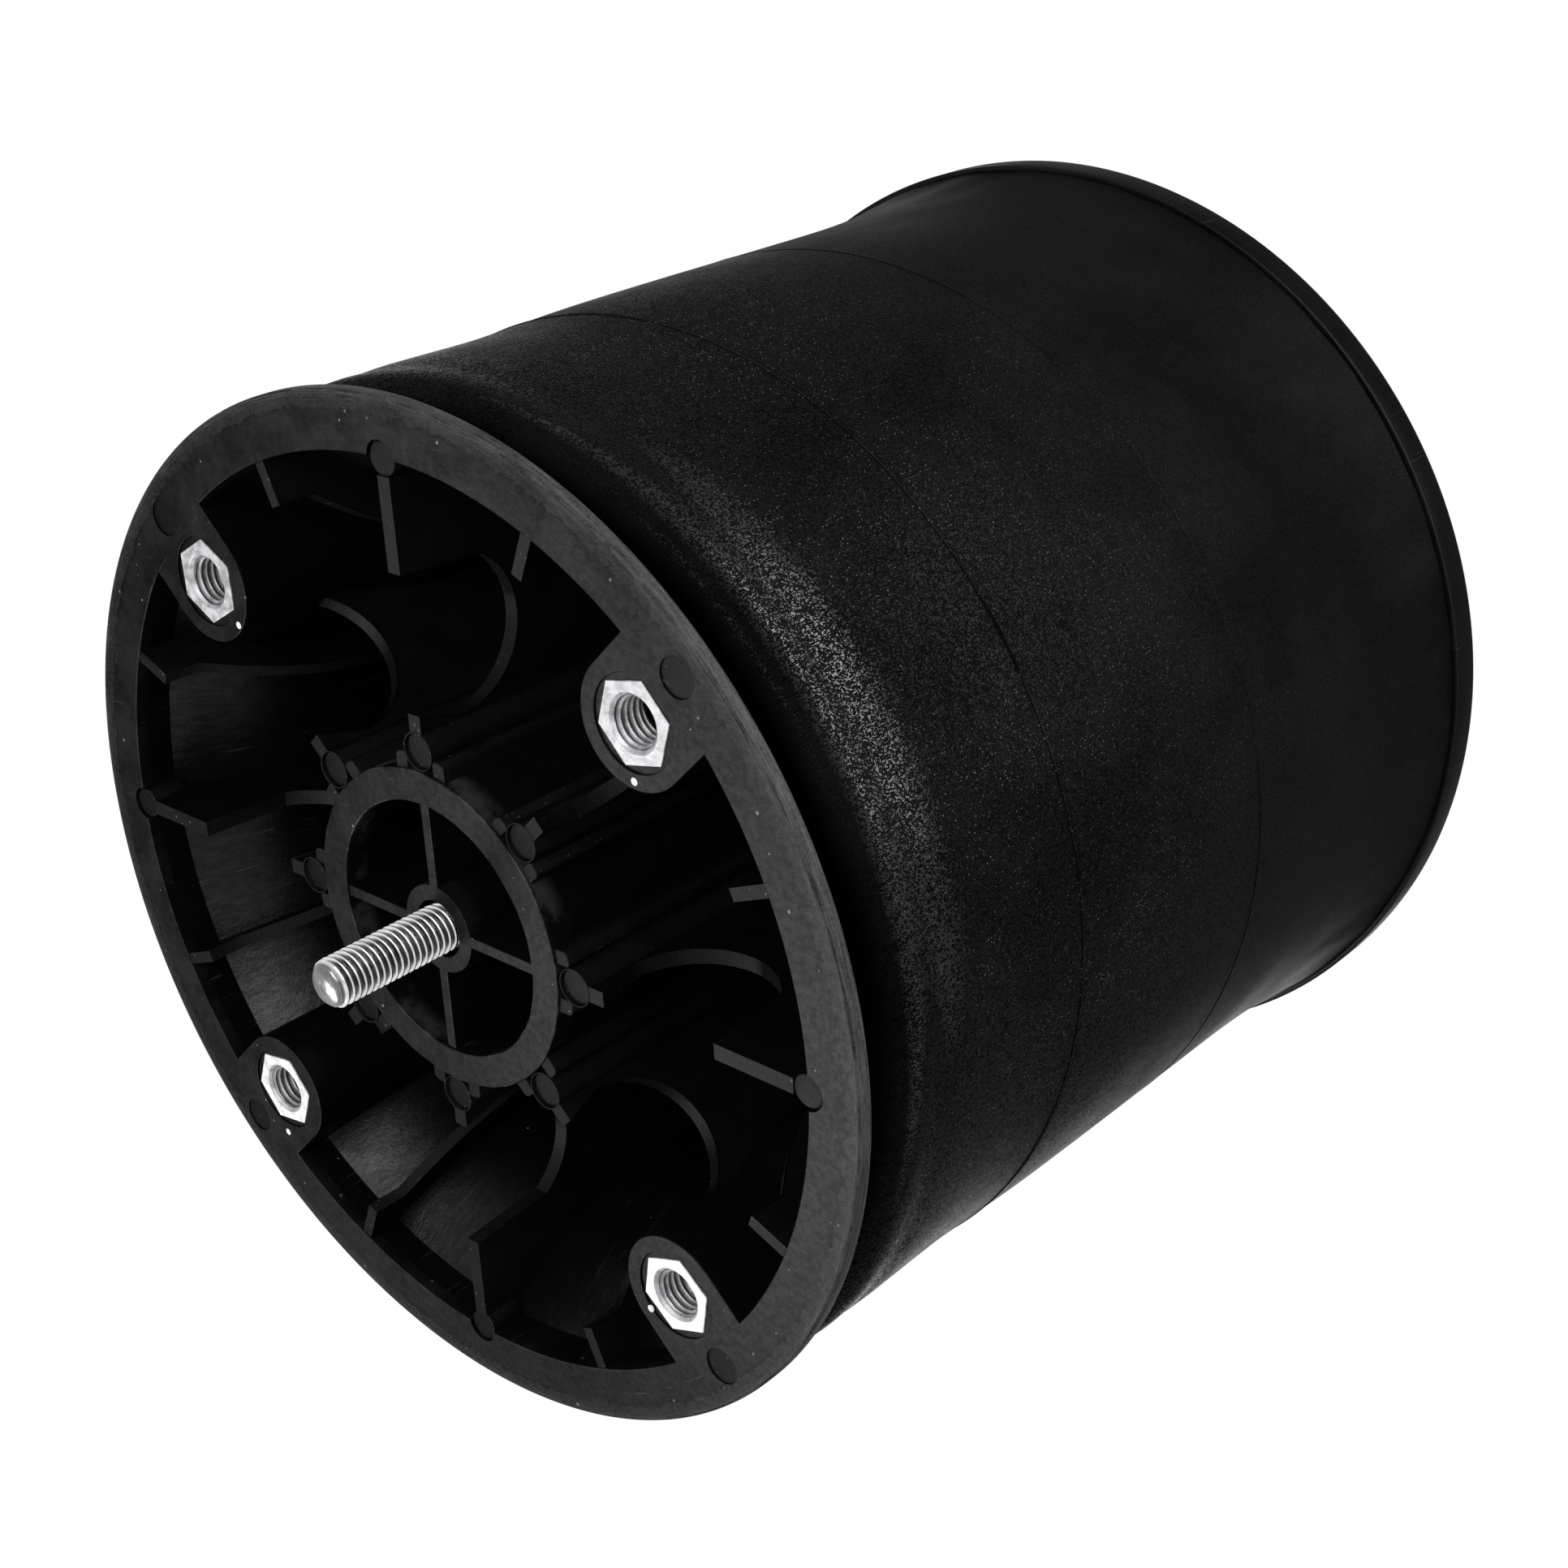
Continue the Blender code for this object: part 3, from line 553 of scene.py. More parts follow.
def makeThreadTree():
    # A grid is bent into a turned skin. Its last rows run back along the wall radius, so it closes on itself.
    # Crest above valley makes an outside thread, and crest below valley the thread of a bore.
    tree, take, give = startGroup("GeometryNodeTree", "threadTurns", {
        "Around": 48, "Rows": 120, "Length": 0.04, "Pitch": 0.00175, "Valley Radius": 0.0050,
        "Crest Radius": 0.0059, "Wall Radius": 0.0, "Chamfer": 0.0014, "Finish": None,
    }, ["Geometry"])
    rows, length, valley, crest = (take[name] for name in ("Rows", "Length", "Valley Radius", "Crest Radius"))
    counts = {"Vertices X": plus(take["Around"], 1), "Vertices Y": plus(rows, 1)}
    grid = addNode(tree, "GeometryNodeMeshGrid", counts)
    x, y, z = parted(addNode(tree, "GeometryNodeInputPosition").outputs[0])
    turn = plus(x, 0.5)
    row = times(plus(y, 0.5), rows)
    lastThread = minus(rows, 3)
    along = least(over(row, lastThread), 1.0)
    onTheWayUp = calc("LESS_THAN", row, minus(rows, 1.5))
    height = times(along, length, onTheWayUp)
    pastThread = calc("GREATER_THAN", row, plus(lastThread, 0.5))
    beforeEnd = calc("LESS_THAN", row, minus(rows, 0.5))
    onWall = times(pastThread, beforeEnd)
    # 0 in the valley and 1 on the crest, with eased flanks
    phase = calc("FRACT", minus(over(height, take["Pitch"]), turn))
    flank = calc("MULTIPLY_ADD", absolute(minus(phase, 0.5)), -2.7, 1.2)
    flank = least(most(flank, 0.0), 1.0)
    flank = times(flank, flank, calc("MULTIPLY_ADD", flank, -2.0, 3.0))
    depth = minus(crest, valley)
    side = calc("SIGN", depth)
    thread = times(calc("MULTIPLY_ADD", flank, depth, valley), side)
    # both ends are chamfered
    tip = minus(times(crest, side), take["Chamfer"])
    fromLow = plus(tip, height)
    fromHigh = plus(tip, minus(length, height))
    skin = times(least(thread, least(fromLow, fromHigh)), side)
    radius = calc("MULTIPLY_ADD", minus(take["Wall Radius"], skin), onWall, skin)
    angle = times(turn, fullTurn)
    place = vectorOf(times(radius, calc("COSINE", angle)), times(radius, calc("SINE", angle)), height)
    bend = addNode(tree, "GeometryNodeSetPosition", {"Geometry": grid.outputs["Mesh"], "Position": place})
    seam = {"Geometry": bend.outputs[0], "Distance": mergeDistance}
    merge = addNode(tree, "GeometryNodeMergeByDistance", seam)
    return endTree(tree, merge.outputs[0], take, give)


roundTree = makeRoundTree()
threadTree = makeThreadTree()


def repeated(name, form, count, firstAngle, material):
    values = {"Count": count, "First Angle": firstAngle}
    return withTree(fromForm(name, form, material), roundTree, values, material)


def threadForm(material, around, rows, length, pitch, valley, crest, wall, chamfer):
    blank = linked("threadBlank", bpy.data.meshes.new("threadBlank"))
    made = withTree(blank, threadTree, {
        "Around": around, "Rows": rows, "Length": length, "Pitch": pitch,
        "Valley Radius": valley, "Crest Radius": crest, "Wall Radius": wall, "Chamfer": chamfer,
    }, material)
    form = fromMesh(made.data)
    bpy.data.objects.remove(made, do_unlink=True)
    closeUp(form)
    sharpen(form, 50)
    return form


# shader groups shared by the finishes

def makeGrainGroup():
    # fine grain, as height, and larger mottling
    tree, take, give = startGroup("ShaderNodeTree", "grainAndMottle", {
        "Vector": None, "Fine Scale": 1500.0, "Broad Scale": 60.0,
    }, ["Height", "Mottle"])
    feed(noiseOf(take["Vector"], take["Fine Scale"], 4.0, 0.65), give["Height"])
    feed(noiseOf(take["Vector"], take["Broad Scale"], 5.0, 0.6), give["Mottle"])
    return tree


def makeScuffGroup():
    # long thin scratches that run one way, broken up by a slow noise
    tree, take, give = startGroup("ShaderNodeTree", "scuffs", {"Vector": None, "Amount": 0.5}, ["Mask"])
    thin = between(noiseOf(take["Vector"], 1.0, 3.0, 0.7), 0.60, 0.72)
    patches = between(noiseOf(take["Vector"], 0.11, 3.0, 0.6), 0.45, 0.62)
    feed(times(thin, patches, take["Amount"]), give["Mask"])
    return tree


def makeGrooveGroup():
    # 0 in the bottom of a thread and 1 on its crest, round axes that mirror each other in X and Y;
    # also 1 beyond the rim radius, and the end tone close to the end face, where there is no thread
    tree, take, give = startGroup("ShaderNodeTree", "threadGrooves", {
        "Vector": None, "Centre X": 0.0, "Centre Y": 0.0, "Low Radius": 0.0050, "High Radius": 0.0056,
        "Rim Radius": 0.0063, "End Height": 0.0, "End Reach": 0.0015, "End Tone": 1.0,
    }, ["Crest"])
    x, y, z = parted(take["Vector"])
    radius = radiusOf(minus(absolute(x), take["Centre X"]), minus(absolute(y), take["Centre Y"]))
    span = minus(take["High Radius"], take["Low Radius"])
    share = over(minus(radius, take["Low Radius"]), span)
    beyond = calc("GREATER_THAN", radius, take["Rim Radius"])
    atEnd = calc("LESS_THAN", absolute(minus(z, take["End Height"])), take["End Reach"])
    plain = most(beyond, times(atEnd, take["End Tone"]))
    feed(most(least(share, 1.0), plain, 0.0), give["Crest"])
    return tree


def makeSpeckGroup():
    # sparse round specks: a random share of the cells of a Voronoi pattern holds one
    tree, take, give = startGroup("ShaderNodeTree", "sparseSpecks", {
        "Vector": None, "Scale": 400.0, "Size": 0.10, "Share": 0.3,
    }, ["Mask"])
    cells = addNode(tree, "ShaderNodeTexVoronoi", {"Vector": take["Vector"], "Scale": take["Scale"]})
    tone = addNode(tree, "ShaderNodeSeparateColor", {0: cells.outputs["Color"]}).outputs
    inside = calc("LESS_THAN", cells.outputs["Distance"], times(take["Size"], tone["Green"]))
    feed(times(inside, calc("LESS_THAN", tone["Red"], take["Share"])), give["Mask"])
    return tree


grainGroup = makeGrainGroup()
scuffGroup = makeScuffGroup()
grooveGroup = makeGrooveGroup()
speckGroup = makeSpeckGroup()


def placed(group, where, **values):
    # a shader group in a finish, with its own values
    node = addNode(where.id_data, "ShaderNodeGroup", node_tree=group)
    feed(where, node.inputs["Vector"])
    for name, value in values.items():
        feed(value, node.inputs[name.replace("_", " ")])
    return node.outputs


def newFinish(name):
    # a material, the inputs of its Principled shader, and Object coordinates
    material = bpy.data.materials.new(name)
    material.use_nodes = True
    where = addNode(material.node_tree, "ShaderNodeTexCoord").outputs["Object"]
    return material, material.node_tree.nodes["Principled BSDF"].inputs, where


def finishWith(shader, base, roughness, relief, distance, strength=1.0, level=None):
    # joins colour, roughness and relief to the shader, and a specular level where there is one
    feed(base, shader["Base Color"])
    feed(roughness, shader["Roughness"])
    if level is not None:
        feed(level, shader["Specular IOR Level"])
    inputs = {"Height": relief, "Distance": distance, "Strength": strength}
    feed(addNode(base.id_data, "ShaderNodeBump", inputs).outputs[0], shader["Normal"])


def mattBeyond(where, near, far, levels):
    # a specular level that falls off where the view is shallow
    facing = addNode(where.id_data, "ShaderNodeLayerWeight", {"Blend": 0.5}).outputs["Facing"]
    return between(facing, near, far, *levels)


def edgeFaces(where):
    # 1 on faces that look along the axis, a third on the round notches, 0 on the sides of radial ribs
    normal = parted(addNode(where.id_data, "ShaderNodeNewGeometry").outputs["True Normal"])
    x, y, z = parted(where)
    sideways = over(absolute(minus(times(normal["Y"], x), times(normal["X"], y))), radiusOf(x, y))
    along = between(absolute(normal["Z"]), 0.4, 0.8)
    return most(along, between(sideways, 0.2, 0.6, 0.35, 0.0))


# finishes

plastic = {
    "face": (0.0108, 0.0108, 0.0111, 1),
    "faceDark": (0.0030, 0.0030, 0.0032, 1),
    "side": (0.028, 0.028, 0.028, 1),
    # heights behind the front over which the painted shade of the recesses sets in
    "paintedShadeDepths": (0.0030, 0.0080),
    "worn": (0.150, 0.150, 0.150, 1),
    # also the colour of the painted shade in the face and rib finishes, and of the crack line
    "inside": (0.0020, 0.0020, 0.0021, 1),
    # radii of the painted highlights along the hub ring's two edges
    "edgeHighlightRadii": (0.0316, 0.0396),
    "crack": 0.0042,
    "roughness": (0.40, 0.56),
    "specular": (0.092, 0.014),
}


def makeFacePlastic():
    material, shader, where = newFinish("pistonFacePlastic")
    radius, angle, height = polarOf(where)
    grain = placed(grainGroup, where, Fine_Scale=1400.0, Broad_Scale=80.0)
    rings = placed(scuffGroup, vectorOf(times(radius, 2600.0), times(angle, 60.0), 0.0), Amount=0.8)
    cross = placed(scuffGroup, mapped(where, (90, 2200, 1), 0.9), Amount=0.4)
    specks = placed(speckGroup, where, Scale=420.0, Size=0.19, Share=0.12)
    # the flange's side is paler and rough, with streaks on the last millimetres of its front
    streaks = noiseOf(vectorOf(times(minus(radius, height), 3200.0), times(angle, 60.0), 0.0), 1.0, 4.0, 0.7)
    edge = calc("MULTIPLY_ADD", grain["Mottle"], 0.0034, radius)
    worn = times(between(edge, flangeRadius - 0.0012, flangeRadius + 0.0018), between(streaks, 0.42, 0.60))
    side = between(radius, flangeRadius - 0.0011, flangeRadius - 0.0003)
    side = times(side, between(grain["Height"], 0.38, 0.62, 0.15, 1.0))
    # painted highlight: broken pale lines in the worn colour along the hub ring's edges, standing in for light
    # caught by their rounded corners
    corners = [between(absolute(minus(radius, at)), 0.00015, 0.00040, 1.0, 0.0) for at in plastic["edgeHighlightRadii"]]
    corners = times(most(*corners), between(grain["Mottle"], 0.46, 0.62))
    # lines and marks hold the real scuffs, wear and specks together with these painted edge highlights
    lines = most(rings["Mask"], cross["Mask"], corners)
    marks = most(times(lines, 0.40), times(worn, 0.28), specks["Mask"])
    # a jagged dark line a few millimetres in from the edge, and a paler belt outside it
    jagged = calc("MULTIPLY_ADD", noiseOf(where, 260.0, 5.0, 0.7), 0.0050, radius)
    jagged = minus(jagged, flangeRadius - plastic["crack"] + 0.0025)
    crack = between(absolute(jagged), 0.0001, 0.00045, 1.0, 0.0)
    crack = times(crack, between(noiseOf(where, 34.0, 2.0), 0.42, 0.56))
    belt = times(between(jagged, 0.0, 0.0006), between(grain["Height"], 0.40, 0.60, 0.10, 0.55))
    base = mixColour(between(grain["Mottle"], 0.35, 0.68), plastic["faceDark"], plastic["face"])
    base = mixColour(belt, base, plastic["side"])
    base = mixColour(crack, base, plastic["inside"])
    base = mixColour(side, base, plastic["side"])
    base = mixColour(marks, base, plastic["worn"])
    # painted shade: with depth behind the front, faces that look along the axis grow as dark and as little
    # glossy as inside; the flange's outer edge is left out
    unshadedShare = times(between(height, *plastic["paintedShadeDepths"], 1.0, 0.0), edgeFaces(where))
    unshadedShare = most(unshadedShare, between(radius, flangeRadius - 0.003, flangeRadius - 0.002))
    base = mixColour(unshadedShare, plastic["inside"], base)
    shine = mattBeyond(where, 0.37, 0.50, plastic["specular"])
    shine = times(shine, between(grain["Mottle"], 0.3, 0.7, 0.75, 1.2))
    shine = times(shine, between(unshadedShare, 0.0, 1.0, 0.25, 1.0))
    shine = times(shine, between(noiseOf(where, 520.0, 4.0, 0.7), 0.38, 0.62, 0.72, 1.22))
    rough = between(grain["Mottle"], 0.3, 0.7, *plastic["roughness"])
    finishWith(shader, base, rough, minus(grain["Height"], times(marks, 0.6)), 0.00008, 0.5, shine)
    return material


def makeInsidePlastic():
    material, shader, where = newFinish("pistonInsidePlastic")
    radius, angle, height = polarOf(where)
    grain = placed(grainGroup, where, Fine_Scale=1200.0, Broad_Scale=38.0)
    drag = placed(scuffGroup, vectorOf(times(angle, 900.0), times(height, 60.0), 0.0), Amount=1.0)
    specks = placed(speckGroup, where, Scale=240.0, Size=0.11, Share=0.03)
    marks = most(times(drag["Mask"], 0.22), specks["Mask"])
    runs = noiseOf(vectorOf(times(angle, 360.0), times(height, 260.0), 0.0), 1.0, 4.0, 0.65)
    shine = times(between(runs, 0.35, 0.65, 0.13, 0.20), between(height, 0.014, 0.045, 1.0, 0.40))
    base = mixColour(marks, plastic["inside"], plastic["worn"])
    rough = between(grain["Mottle"], 0.3, 0.7, 0.22, 0.36)
    finishWith(shader, base, rough, plus(grain["Height"], marks, runs), 0.00013, 0.6, shine)
    return material


def makeRibPlastic(name, level):
    material, shader, where = newFinish(name)
    grain = placed(grainGroup, where, Fine_Scale=1700.0, Broad_Scale=70.0)
    specks = placed(speckGroup, where, Scale=900.0, Size=0.30, Share=0.25)
    # painted shade: faces that look along the axis fade to the inside colour with depth; a level below 1 keeps
    # the whole piece darker
    unshadedShare = times(between(parted(where)["Z"], 0.004, 0.040, 1.0, 0.0), edgeFaces(where), level)
    base = mixColour(between(grain["Mottle"], 0.3, 0.7), plastic["faceDark"], plastic["face"])
    base = mixColour(unshadedShare, plastic["inside"], base)
    base = mixColour(times(specks["Mask"], times(unshadedShare, 0.50)), base, plastic["worn"])
    rough = between(grain["Mottle"], 0.3, 0.7, 0.42, 0.6)
    shine = mattBeyond(where, 0.37, 0.50, plastic["specular"])
    finishWith(shader, base, rough, grain["Height"], 0.0003, 0.7, shine)
    return material


rubber = {
    "dark": (0.0013, 0.0013, 0.0014, 1),
    "light": (0.0039, 0.0039, 0.0040, 1),
    # colour of the painted glints and of the moulding line's painted highlight
    "glintTone": (0.14, 0.14, 0.14, 1),
    "specular": (0.011, 0.002),
    "lobeSpecular": (0.195, 0.012),
    "lobeFoot": 0.0190,
    "lobeTop": (0.0315, 0.0440),
    "line": 0.0785,
}


def makeRubber():
    material, shader, where = newFinish("bellowsRubber")
    height = parted(where)["Z"]
    grain = placed(grainGroup, where, Fine_Scale=1100.0, Broad_Scale=26.0)
    specks = placed(speckGroup, where, Scale=1450.0, Size=0.25, Share=0.70)
    # short wrinkles: a noise at places that another noise has bent
    warp = noiseOf(where, 500.0, 2.0, 0.5, "Color")
    spread = {0: warp, 1: (0.0018, 0.0018, 0.0018), 2: where}
    bent = addNode(where.id_data, "ShaderNodeVectorMath", spread, operation="MULTIPLY_ADD").outputs[0]
    wrinkles = noiseOf(mapped(bent, (1, 1, 0.6)), 1650.0, 1.0, 0.5)
    wrinkles = between(absolute(minus(wrinkles, 0.5)), 0.0, 0.14)
    onLobe = between(height, rubber["lobeTop"][0], 0.090, 1.0, 0.30)
    # painted highlights: pale glint specks, thickest near the lobe, and a pale highlight along the moulding
    # line
    lineHighlight = between(absolute(minus(height, rubber["line"])), 0.00005, 0.00025, 1.0, 0.0)
    lineHighlight = times(lineHighlight, between(grain["Mottle"], 0.42, 0.58))
    paintedGlints = times(specks["Mask"], between(height, 0.040, 0.190, 0.85, 0.10), between(height, 0.026, 0.038))
    paintedGlints = times(paintedGlints, between(grain["Mottle"], 0.40, 0.62, 0.35, 1.0))
    base = mixColour(between(grain["Mottle"], 0.32, 0.70), rubber["dark"], rubber["light"])
    base = mixColour(most(paintedGlints, times(lineHighlight, 0.10)), base, rubber["glintTone"])
    # the shine is grainy, less so towards the far end, and gone beside the moulding line
    grainy = minus(between(wrinkles, 0.30, 1.00, 0.25, 2.20), 1.0)
    grainy = calc("MULTIPLY_ADD", grainy, between(height, 0.080, 0.190, 1.0, 0.25), 1.0)
    fromLine = absolute(minus(height, rubber["line"] - 0.0003))
    matt = times(mattBeyond(where, 0.25, 0.75, rubber["specular"]), grainy)
    matt = times(matt, between(fromLine, 0.00022, 0.00045, 0.1, 1.0))
    # on the rolling lobe the wrinkles themselves are glossy
    foot = between(height, rubber["lobeFoot"] - 0.001, rubber["lobeFoot"] + 0.001)
    glossy = times(foot, mattBeyond(where, 0.33, 0.48, rubber["lobeSpecular"]))
    glossy = times(between(height, *rubber["lobeTop"], 1.0, 0.0), glossy)
    glossy = times(between(wrinkles, 0.60, 1.00, 0.04, 1.0), glossy)
    rough = minus(between(grain["Mottle"], 0.3, 0.7, 0.34, 0.46), times(onLobe, 0.16))
    relief = calc("MULTIPLY_ADD", grain["Height"], 0.60, times(wrinkles, onLobe))
    finishWith(shader, base, rough, relief, 0.00008, 1.0, most(matt, glossy))
    return material


coat = {
    "dark": (0.0016, 0.0016, 0.0017, 1),
    "light": (0.0048, 0.0048, 0.0050, 1),
    "scratch": (0.16, 0.16, 0.17, 1),
    "specular": (0.10, 0.004),
}


def makePlateCoat():
    material, shader, where = newFinish("plateBlackCoat")
    grain = placed(grainGroup, where, Fine_Scale=700.0, Broad_Scale=22.0)
    lines = placed(scuffGroup, mapped(where, (50, 1600, 40), 0.5), Amount=0.8)
    base = mixColour(between(grain["Mottle"], 0.3, 0.7), coat["dark"], coat["light"])
    base = mixColour(times(lines["Mask"], 0.12), base, coat["scratch"])
    rough = between(grain["Mottle"], 0.3, 0.7, 0.28, 0.44)
    shine = mattBeyond(where, 0.15, 0.50, coat["specular"])
    finishWith(shader, base, rough, grain["Height"], 0.0001, 0.35, shine)
    return material


def makeMetal(name, look, thread=None):
    # thread holds the inputs of the threadGrooves group
    material, shader, where = newFinish(name)
    grain = placed(grainGroup, where, Fine_Scale=look["fine"], Broad_Scale=look["broad"])
    shade = between(grain["Mottle"], 0.34, 0.66)
    base = mixColour(shade, look["dark"], look["light"])
    if thread:
        # painted shade: the threads' valleys and the nut bores' mouths take a near-black colour, which also
        # darkens the bolt's and studs' ends by End Tone
        base = mixColour(placed(grooveGroup, where, **thread)["Crest"], metals["groove"], base)
    shader["Metallic"].default_value = 1.0
    rough = between(grain["Mottle"], 0.3, 0.7, *look["roughness"])
    finishWith(shader, base, rough, plus(grain["Height"], times(shade, 0.5)), look["bump"], 0.6)
    return material


metals = {
    # colour of the painted shade in thread valleys
    "groove": (0.016, 0.016, 0.018, 1),
    "baseNut": {
        "light": (0.47, 0.47, 0.48, 1), "dark": (0.25, 0.25, 0.26, 1), "roughness": (0.46, 0.62),
        "fine": 900.0, "broad": 330.0, "bump": 0.00012,
    },
    "nut": {
        "light": (0.70, 0.70, 0.71, 1), "dark": (0.50, 0.50, 0.51, 1), "roughness": (0.28, 0.42),
        "fine": 900.0, "broad": 260.0, "bump": 0.00010,
    },
    "stud": {
        "light": (0.80, 0.80, 0.81, 1), "dark": (0.55, 0.55, 0.56, 1), "roughness": (0.16, 0.28),
        "fine": 1200.0, "broad": 180.0, "bump": 0.00003,
    },
    "brass": {
        "light": (0.74, 0.55, 0.26, 1), "dark": (0.55, 0.39, 0.17, 1), "roughness": (0.24, 0.40),
        "fine": 900.0, "broad": 120.0, "bump": 0.00004,
    },
}
nutCentre = nutCircle * math.sqrt(0.5)
nutGrooves = {
    "Centre_X": nutCentre, "Centre_Y": nutCentre, "Low_Radius": 0.0061, "High_Radius": 0.0054,
    "Rim_Radius": 0.0063, "End_Height": 0.0001, "End_Reach": 0.0008,
}
studGrooves = {
    "Centre_Y": 0.0, "Low_Radius": 0.00500, "High_Radius": 0.00540,
    "Rim_Radius": 0.0070, "End_Reach": 0.0013, "End_Tone": 0.26,
}


def makeDotPaint():
    material, shader, where = newFinish("palePaint")
    grain = placed(grainGroup, where, Fine_Scale=2400.0, Broad_Scale=900.0)
    base = mixColour(grain["Mottle"], (0.62, 0.62, 0.60, 1), (0.86, 0.86, 0.85, 1))
    finishWith(shader, base, 0.6, grain["Height"], 0.0001, 0.4)
    return material


facePlastic = makeFacePlastic()
insidePlastic = makeInsidePlastic()
ribPlastic = makeRibPlastic("ribEdgePlastic", 1.0)
discPlastic = makeRibPlastic("sunkDiscPlastic", 0.35)
bellowsRubber = makeRubber()
plateCoat = makePlateCoat()
dotPaint = makeDotPaint()
baseNutZinc = makeMetal("baseNutZinc", metals["baseNut"], nutGrooves)
nutZinc = makeMetal("nutZinc", metals["nut"])
boltZinc = makeMetal("boltZinc", metals["stud"], {"Centre_X": 0.0, "End_Height": boltLow.z, **studGrooves})
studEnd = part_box("top_stud_1")[1].z
studZinc = makeMetal("studZinc", metals["stud"], {"Centre_X": studReach, "End_Height": studEnd, **studGrooves})
inletBrass = makeMetal("inletBrass", metals["brass"])
print("finishes made")


# the piston's base face: ring with four nut lugs, one flat outline with holes

flange = {
    "ringInner": 0.1120,
    "thickness": 0.0041,
    "outerRound": 0.0007,
    "innerRound": 0.0003,
    "backRound": 0.0009,
    "backInset": 0.0004,
    "backLap": 0.0015,
    "lugRadius": 0.0148,
    "lugClearance": 0.00006,
    "pocketRadius": 0.01085,
    "pocketDepth": 0.0005,
    "pocketRound": 0.0002,
    "markRadius": 0.0045,
    "markDepth": 0.0004,
    "markRound": 0.00012,
    "markLap": 0.0002,
    "markFoot": 0.0020,
    "markCircle": 0.1171,
    "rimPostCircle": 0.1117,
    "rimPostRadius": 0.0039,
    "rimPostDrop": 0.0006,
    "rimPostEnd": 0.0098,
    "rimPostRound": 0.0003,
    "moatWidth": 0.0004,
    "moatDepth": 0.0006,
}

nutAngles = [fullTurn * (k + 0.5) / 4 for k in range(4)]
longRibAngles = [fullTurn * k / 4 for k in range(4)]


def lugSide(angle):
    # the lug's outline from one side of the ring to the other, seen from the axis
    reach = math.sqrt(flange["ringInner"] ** 2 - flange["lugRadius"] ** 2)
    shape = [(reach, -flange["lugRadius"])]
    shape += arc((nutCircle, 0), flange["lugRadius"], -90, -270, 40)
    shape += [(reach, flange["lugRadius"])]
    return turnedBy(angle, shape)


def ringInside():
    half = math.asin(flange["lugRadius"] / flange["ringInner"])
    outline = []
    for angle in nutAngles:
        outline += lugSide(angle)
        start = angle + half
        end = angle + fullTurn / 4 - half
        for j in range(1, 40):
            turn = start + (end - start) * j / 40
            outline.append(atAngle(flange["ringInner"], turn))
    return outline


def makeFace():
    holes = [ringInside()]
    roundings = [flange["outerRound"], flange["innerRound"]]
    for angle in nutAngles:
        holes.append(circle(flange["pocketRadius"], 64, atAngle(nutCircle, angle)))
        holes.append(circle(flange["markRadius"], 48, atAngle(flange["markCircle"], angle)))
        roundings += [flange["pocketRound"], flange["markRound"]]
    outer = circle(flangeRadius, 256)
    form = plateForm(outer, holes, 0.0, flange["thickness"] - flange["backRound"], roundings, 4)
    inner = flange["ringInner"] + flange["backInset"]
    low = flange["thickness"] - flange["backLap"]
    back = turnedForm(roundedCorners([
        (inner, low, 0),
        (flangeRadius, low, 0),
        (flangeRadius, flange["thickness"], flange["backRound"]),
        (inner, flange["thickness"], 0),
    ]), 256)
    return fromForm("pistonFace", joined(form, back), facePlastic)


pistonFace = makeFace()
moats = bmesh.new()
for angle in longRibAngles:
    centre = atAngle(flange["rimPostCircle"], angle)
    radius = flange["rimPostRadius"] + flange["moatWidth"]
    addRound(moats, radius, -overlap, flange["rimPostDrop"] + flange["moatDepth"], centre)
pistonFace = cutFrom(pistonFace, moats)
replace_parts(pistonFace, "piston")
pistonPieces = [pistonFace]

markOutline = circle(flange["markRadius"] + flange["markLap"], 40)
markDisc = plateForm(markOutline, [], flange["markDepth"], flange["markFoot"], [0.0001])
markDiscs = repeated("markDiscs", moved(markDisc, x=flange["markCircle"]), 4, fullTurn / 8, discPlastic)
pistonPieces.append(markDiscs)
postOutline = circle(flange["rimPostRadius"], 48)
postRound = [flange["rimPostRound"]]
rimPost = plateForm(postOutline, [], flange["rimPostDrop"], flange["rimPostEnd"], postRound)
pistonPieces.append(repeated("rimPosts", moved(rimPost, x=flange["rimPostCircle"]), 4, 0.0, discPlastic))
print("base face made")


# the moulded-in nuts, for which the lugs are cut

nuts = {
    "acrossFlats": 0.018,
    "height": 0.010,
    "face": 0.00015,
    "turns": (44, 32, 55, 36),
    "pitch": 0.00175,
    "minor": 0.00515,
    "major": 0.0060,
    "countersink": 0.0066,
    "cornerRound": 0.0004,
    "faceRound": 0.0002,
    "threadWall": 0.0004,
    "threadEnd": 0.0001,
    "pocketRoom": 0.0001,
    "ribRoom": (0.0015, 0.0020),
}
nutCorner = nuts["acrossFlats"] / math.sqrt(3)


# the piston's shell: skirt, eased waist, drafted wall and top

shell = {
    "wall": 0.0042,
    "skirtRadius": 0.1162,
    "skirtHeight": 0.010,
    "waistRadius": 0.0965,
    "waistHeight": 0.064,
    "waistEase": 2.2,
    "topRadius": 0.095,
    "shoulder": 0.015,
    "topWall": 0.0045,
    "grooveFloor": 0.1633,
    "grooveHalf": 0.0059,
    "beadCircle": 0.069,
    "boltRoom": 0.0100,
    "footSpread": 0.00008,
    "segments": 160,
}
ceiling = shell["grooveFloor"] - shell["topWall"]
shoulderCentre = (shell["topRadius"] - shell["shoulder"], pistonTop - shell["shoulder"])


